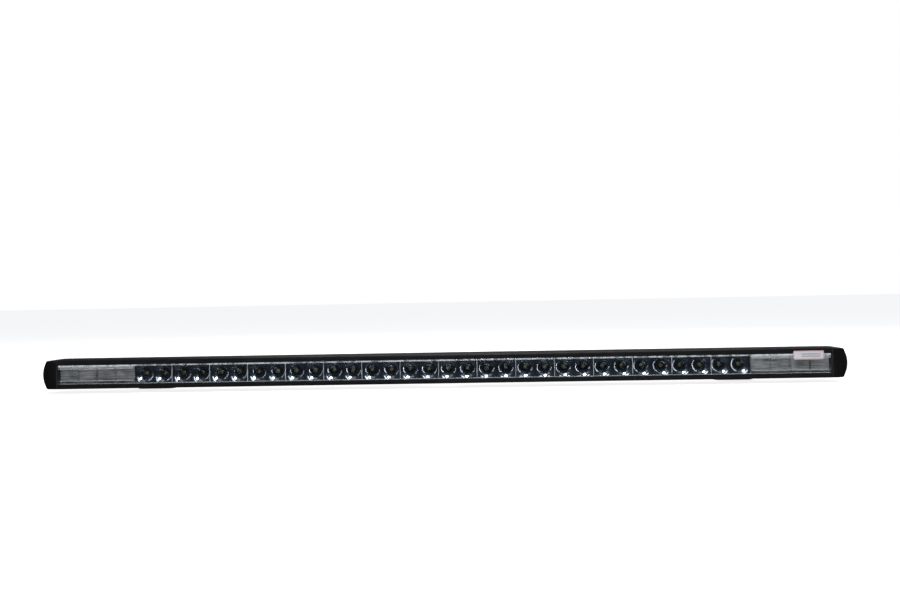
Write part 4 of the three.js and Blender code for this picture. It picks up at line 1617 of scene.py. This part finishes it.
@dataclass
class Studio:
    """A pale floor, a white background, soft lamps and the camera."""

    bar: Box
    eye: Point = (71.8 * MM, -1310.7 * MM, 95 * MM)  # from the middle of the bezel's front face
    yaw: float = 2.394
    pitch: float = -0.195
    roll: float = 1.083
    lens: float = 40.0
    floor_colours: tuple[Colour, Colour] = ((0.8, 0.8, 0.8, 1.0), (0.83, 0.83, 0.83, 1.0))
    floor_glow: float = 0.85
    # The room's light from below to above, as shares of the whole height and strengths, and its tint.
    room_light: tuple[tuple[float, float], ...] = ((0.0, 0.055), (0.5, 0.018), (1.0, 0.1))
    room_tint: Point = (1.0, 1.12, 1.35)
    lamps: tuple[Lamp, ...] = (
        Lamp("overhead_softbox", (0.1, -0.75, 1.5), (0, 0, 0), (2.4, 0.8), 2.2),
        Lamp("key_box", (0.14, -0.82, 1.25), (0, 0, 0), (0.4, 0.4), 15.0),
        Lamp("right_strip", (1.4, -0.55, 0.15), (0.3, 0, 0), (0.07, 1.6), 2.0),
        Lamp("left_strip", (-1.3, -0.5, 0.35), (-0.3, 0, 0), (0.08, 0.9), 0.5),
        Lamp("front_softbox", (0.25, -1.35, 0.92), (0.15, 0, 0), (1.1, 0.25), 2.8),
        Lamp("back_softbox", (0.1, 1.2, 1.1), (0, 0, 0), (1.8, 0.5), 8.0),
    )

    def floor(self) -> None:
        """Lays the floor, which glows a little and stays out of the chrome."""
        deselect()
        bpy.ops.mesh.primitive_plane_add(size=40, location=(0, 0, 0))
        floor = settle("studio_floor")
        graph = Graph(bpy.data.materials.new("pale_floor"))
        cloud = graph.between(graph.noise(3.0), 0.3, 0.7)
        floor.data.materials.append(
            graph.principled(
                Base_Color=graph.mix(cloud, *self.floor_colours),
                Roughness=0.9,
                IOR=1.2,
                Emission_Color=WHITE,
                Emission_Strength=self.floor_glow,
            )
        )
        floor.visible_glossy = False

    def world(self) -> None:
        """Makes the background: white to look at, and a dim room to be lit by."""
        world = bpy.data.worlds.new("studio")
        bpy.context.scene.world = world
        graph = Graph(world, "ShaderNodeOutputWorld")
        direction = graph.add("ShaderNodeTexCoord").outputs["Generated"]
        parts = graph.add("ShaderNodeSeparateXYZ", inputs={0: direction})
        height = graph.between(Value(graph, parts.outputs[Axis.Z.value]), -1.0, 1.0)
        stops = [(at, (*(light * tint for tint in self.room_tint), 1.0)) for at, light in self.room_light]
        ramp = graph.add("ShaderNodeValToRGB", {"stops": stops}, {0: height})
        room = graph.add("ShaderNodeBackground", inputs={"Color": ramp.outputs[0]})
        white = graph.add("ShaderNodeBackground", inputs={"Color": WHITE})
        seen = graph.add("ShaderNodeLightPath").outputs["Is Camera Ray"]
        graph.finish(graph.blend(seen, room, white))

    def camera(self) -> None:
        """Sets up the camera."""
        data = bpy.data.cameras.new("camera")
        data.sensor_width = 36.0
        data.lens = self.lens
        camera = bpy.data.objects.new("camera", data)
        front = Vector((0, self.bar.low.y, self.bar.middle.z))
        turn = (
            Matrix.Rotation(math.radians(self.yaw), 3, "Z")
            @ Matrix.Rotation(math.radians(self.pitch), 3, "X")
            @ Matrix.Rotation(math.radians(self.roll), 3, "Y")
            @ Matrix.Rotation(math.pi / 2, 3, "X")
        )
        camera.matrix_world = Matrix.Translation(front + Vector(self.eye)) @ turn.to_4x4()
        bpy.context.scene.collection.objects.link(camera)
        bpy.context.scene.camera = camera

    def build(self) -> None:
        """Sets the stage."""
        self.camera()
        self.floor()
        self.world()
        for lamp in self.lamps:
            lamp.build()
        bpy.context.scene.view_settings.view_transform = "Standard"


def main() -> None:
    """Builds the bar's sub-assemblies in order around the frame."""
    logging.basicConfig(level=logging.INFO, format="%(name)s: %(message)s")
    bar = Box.of("housing")
    assemblies = (
        Studio(bar),
        Housing(),
        EndCaps(bar),
        CapScrews(),
        Lens(),
        Optics(Reflectors()),
        Fittings(),
        MountingFeet(),
    )
    for assembly in assemblies:
        assembly.build()
        LOG.info("%s done", type(assembly).__name__)


if __name__ == "__main__":
    main()
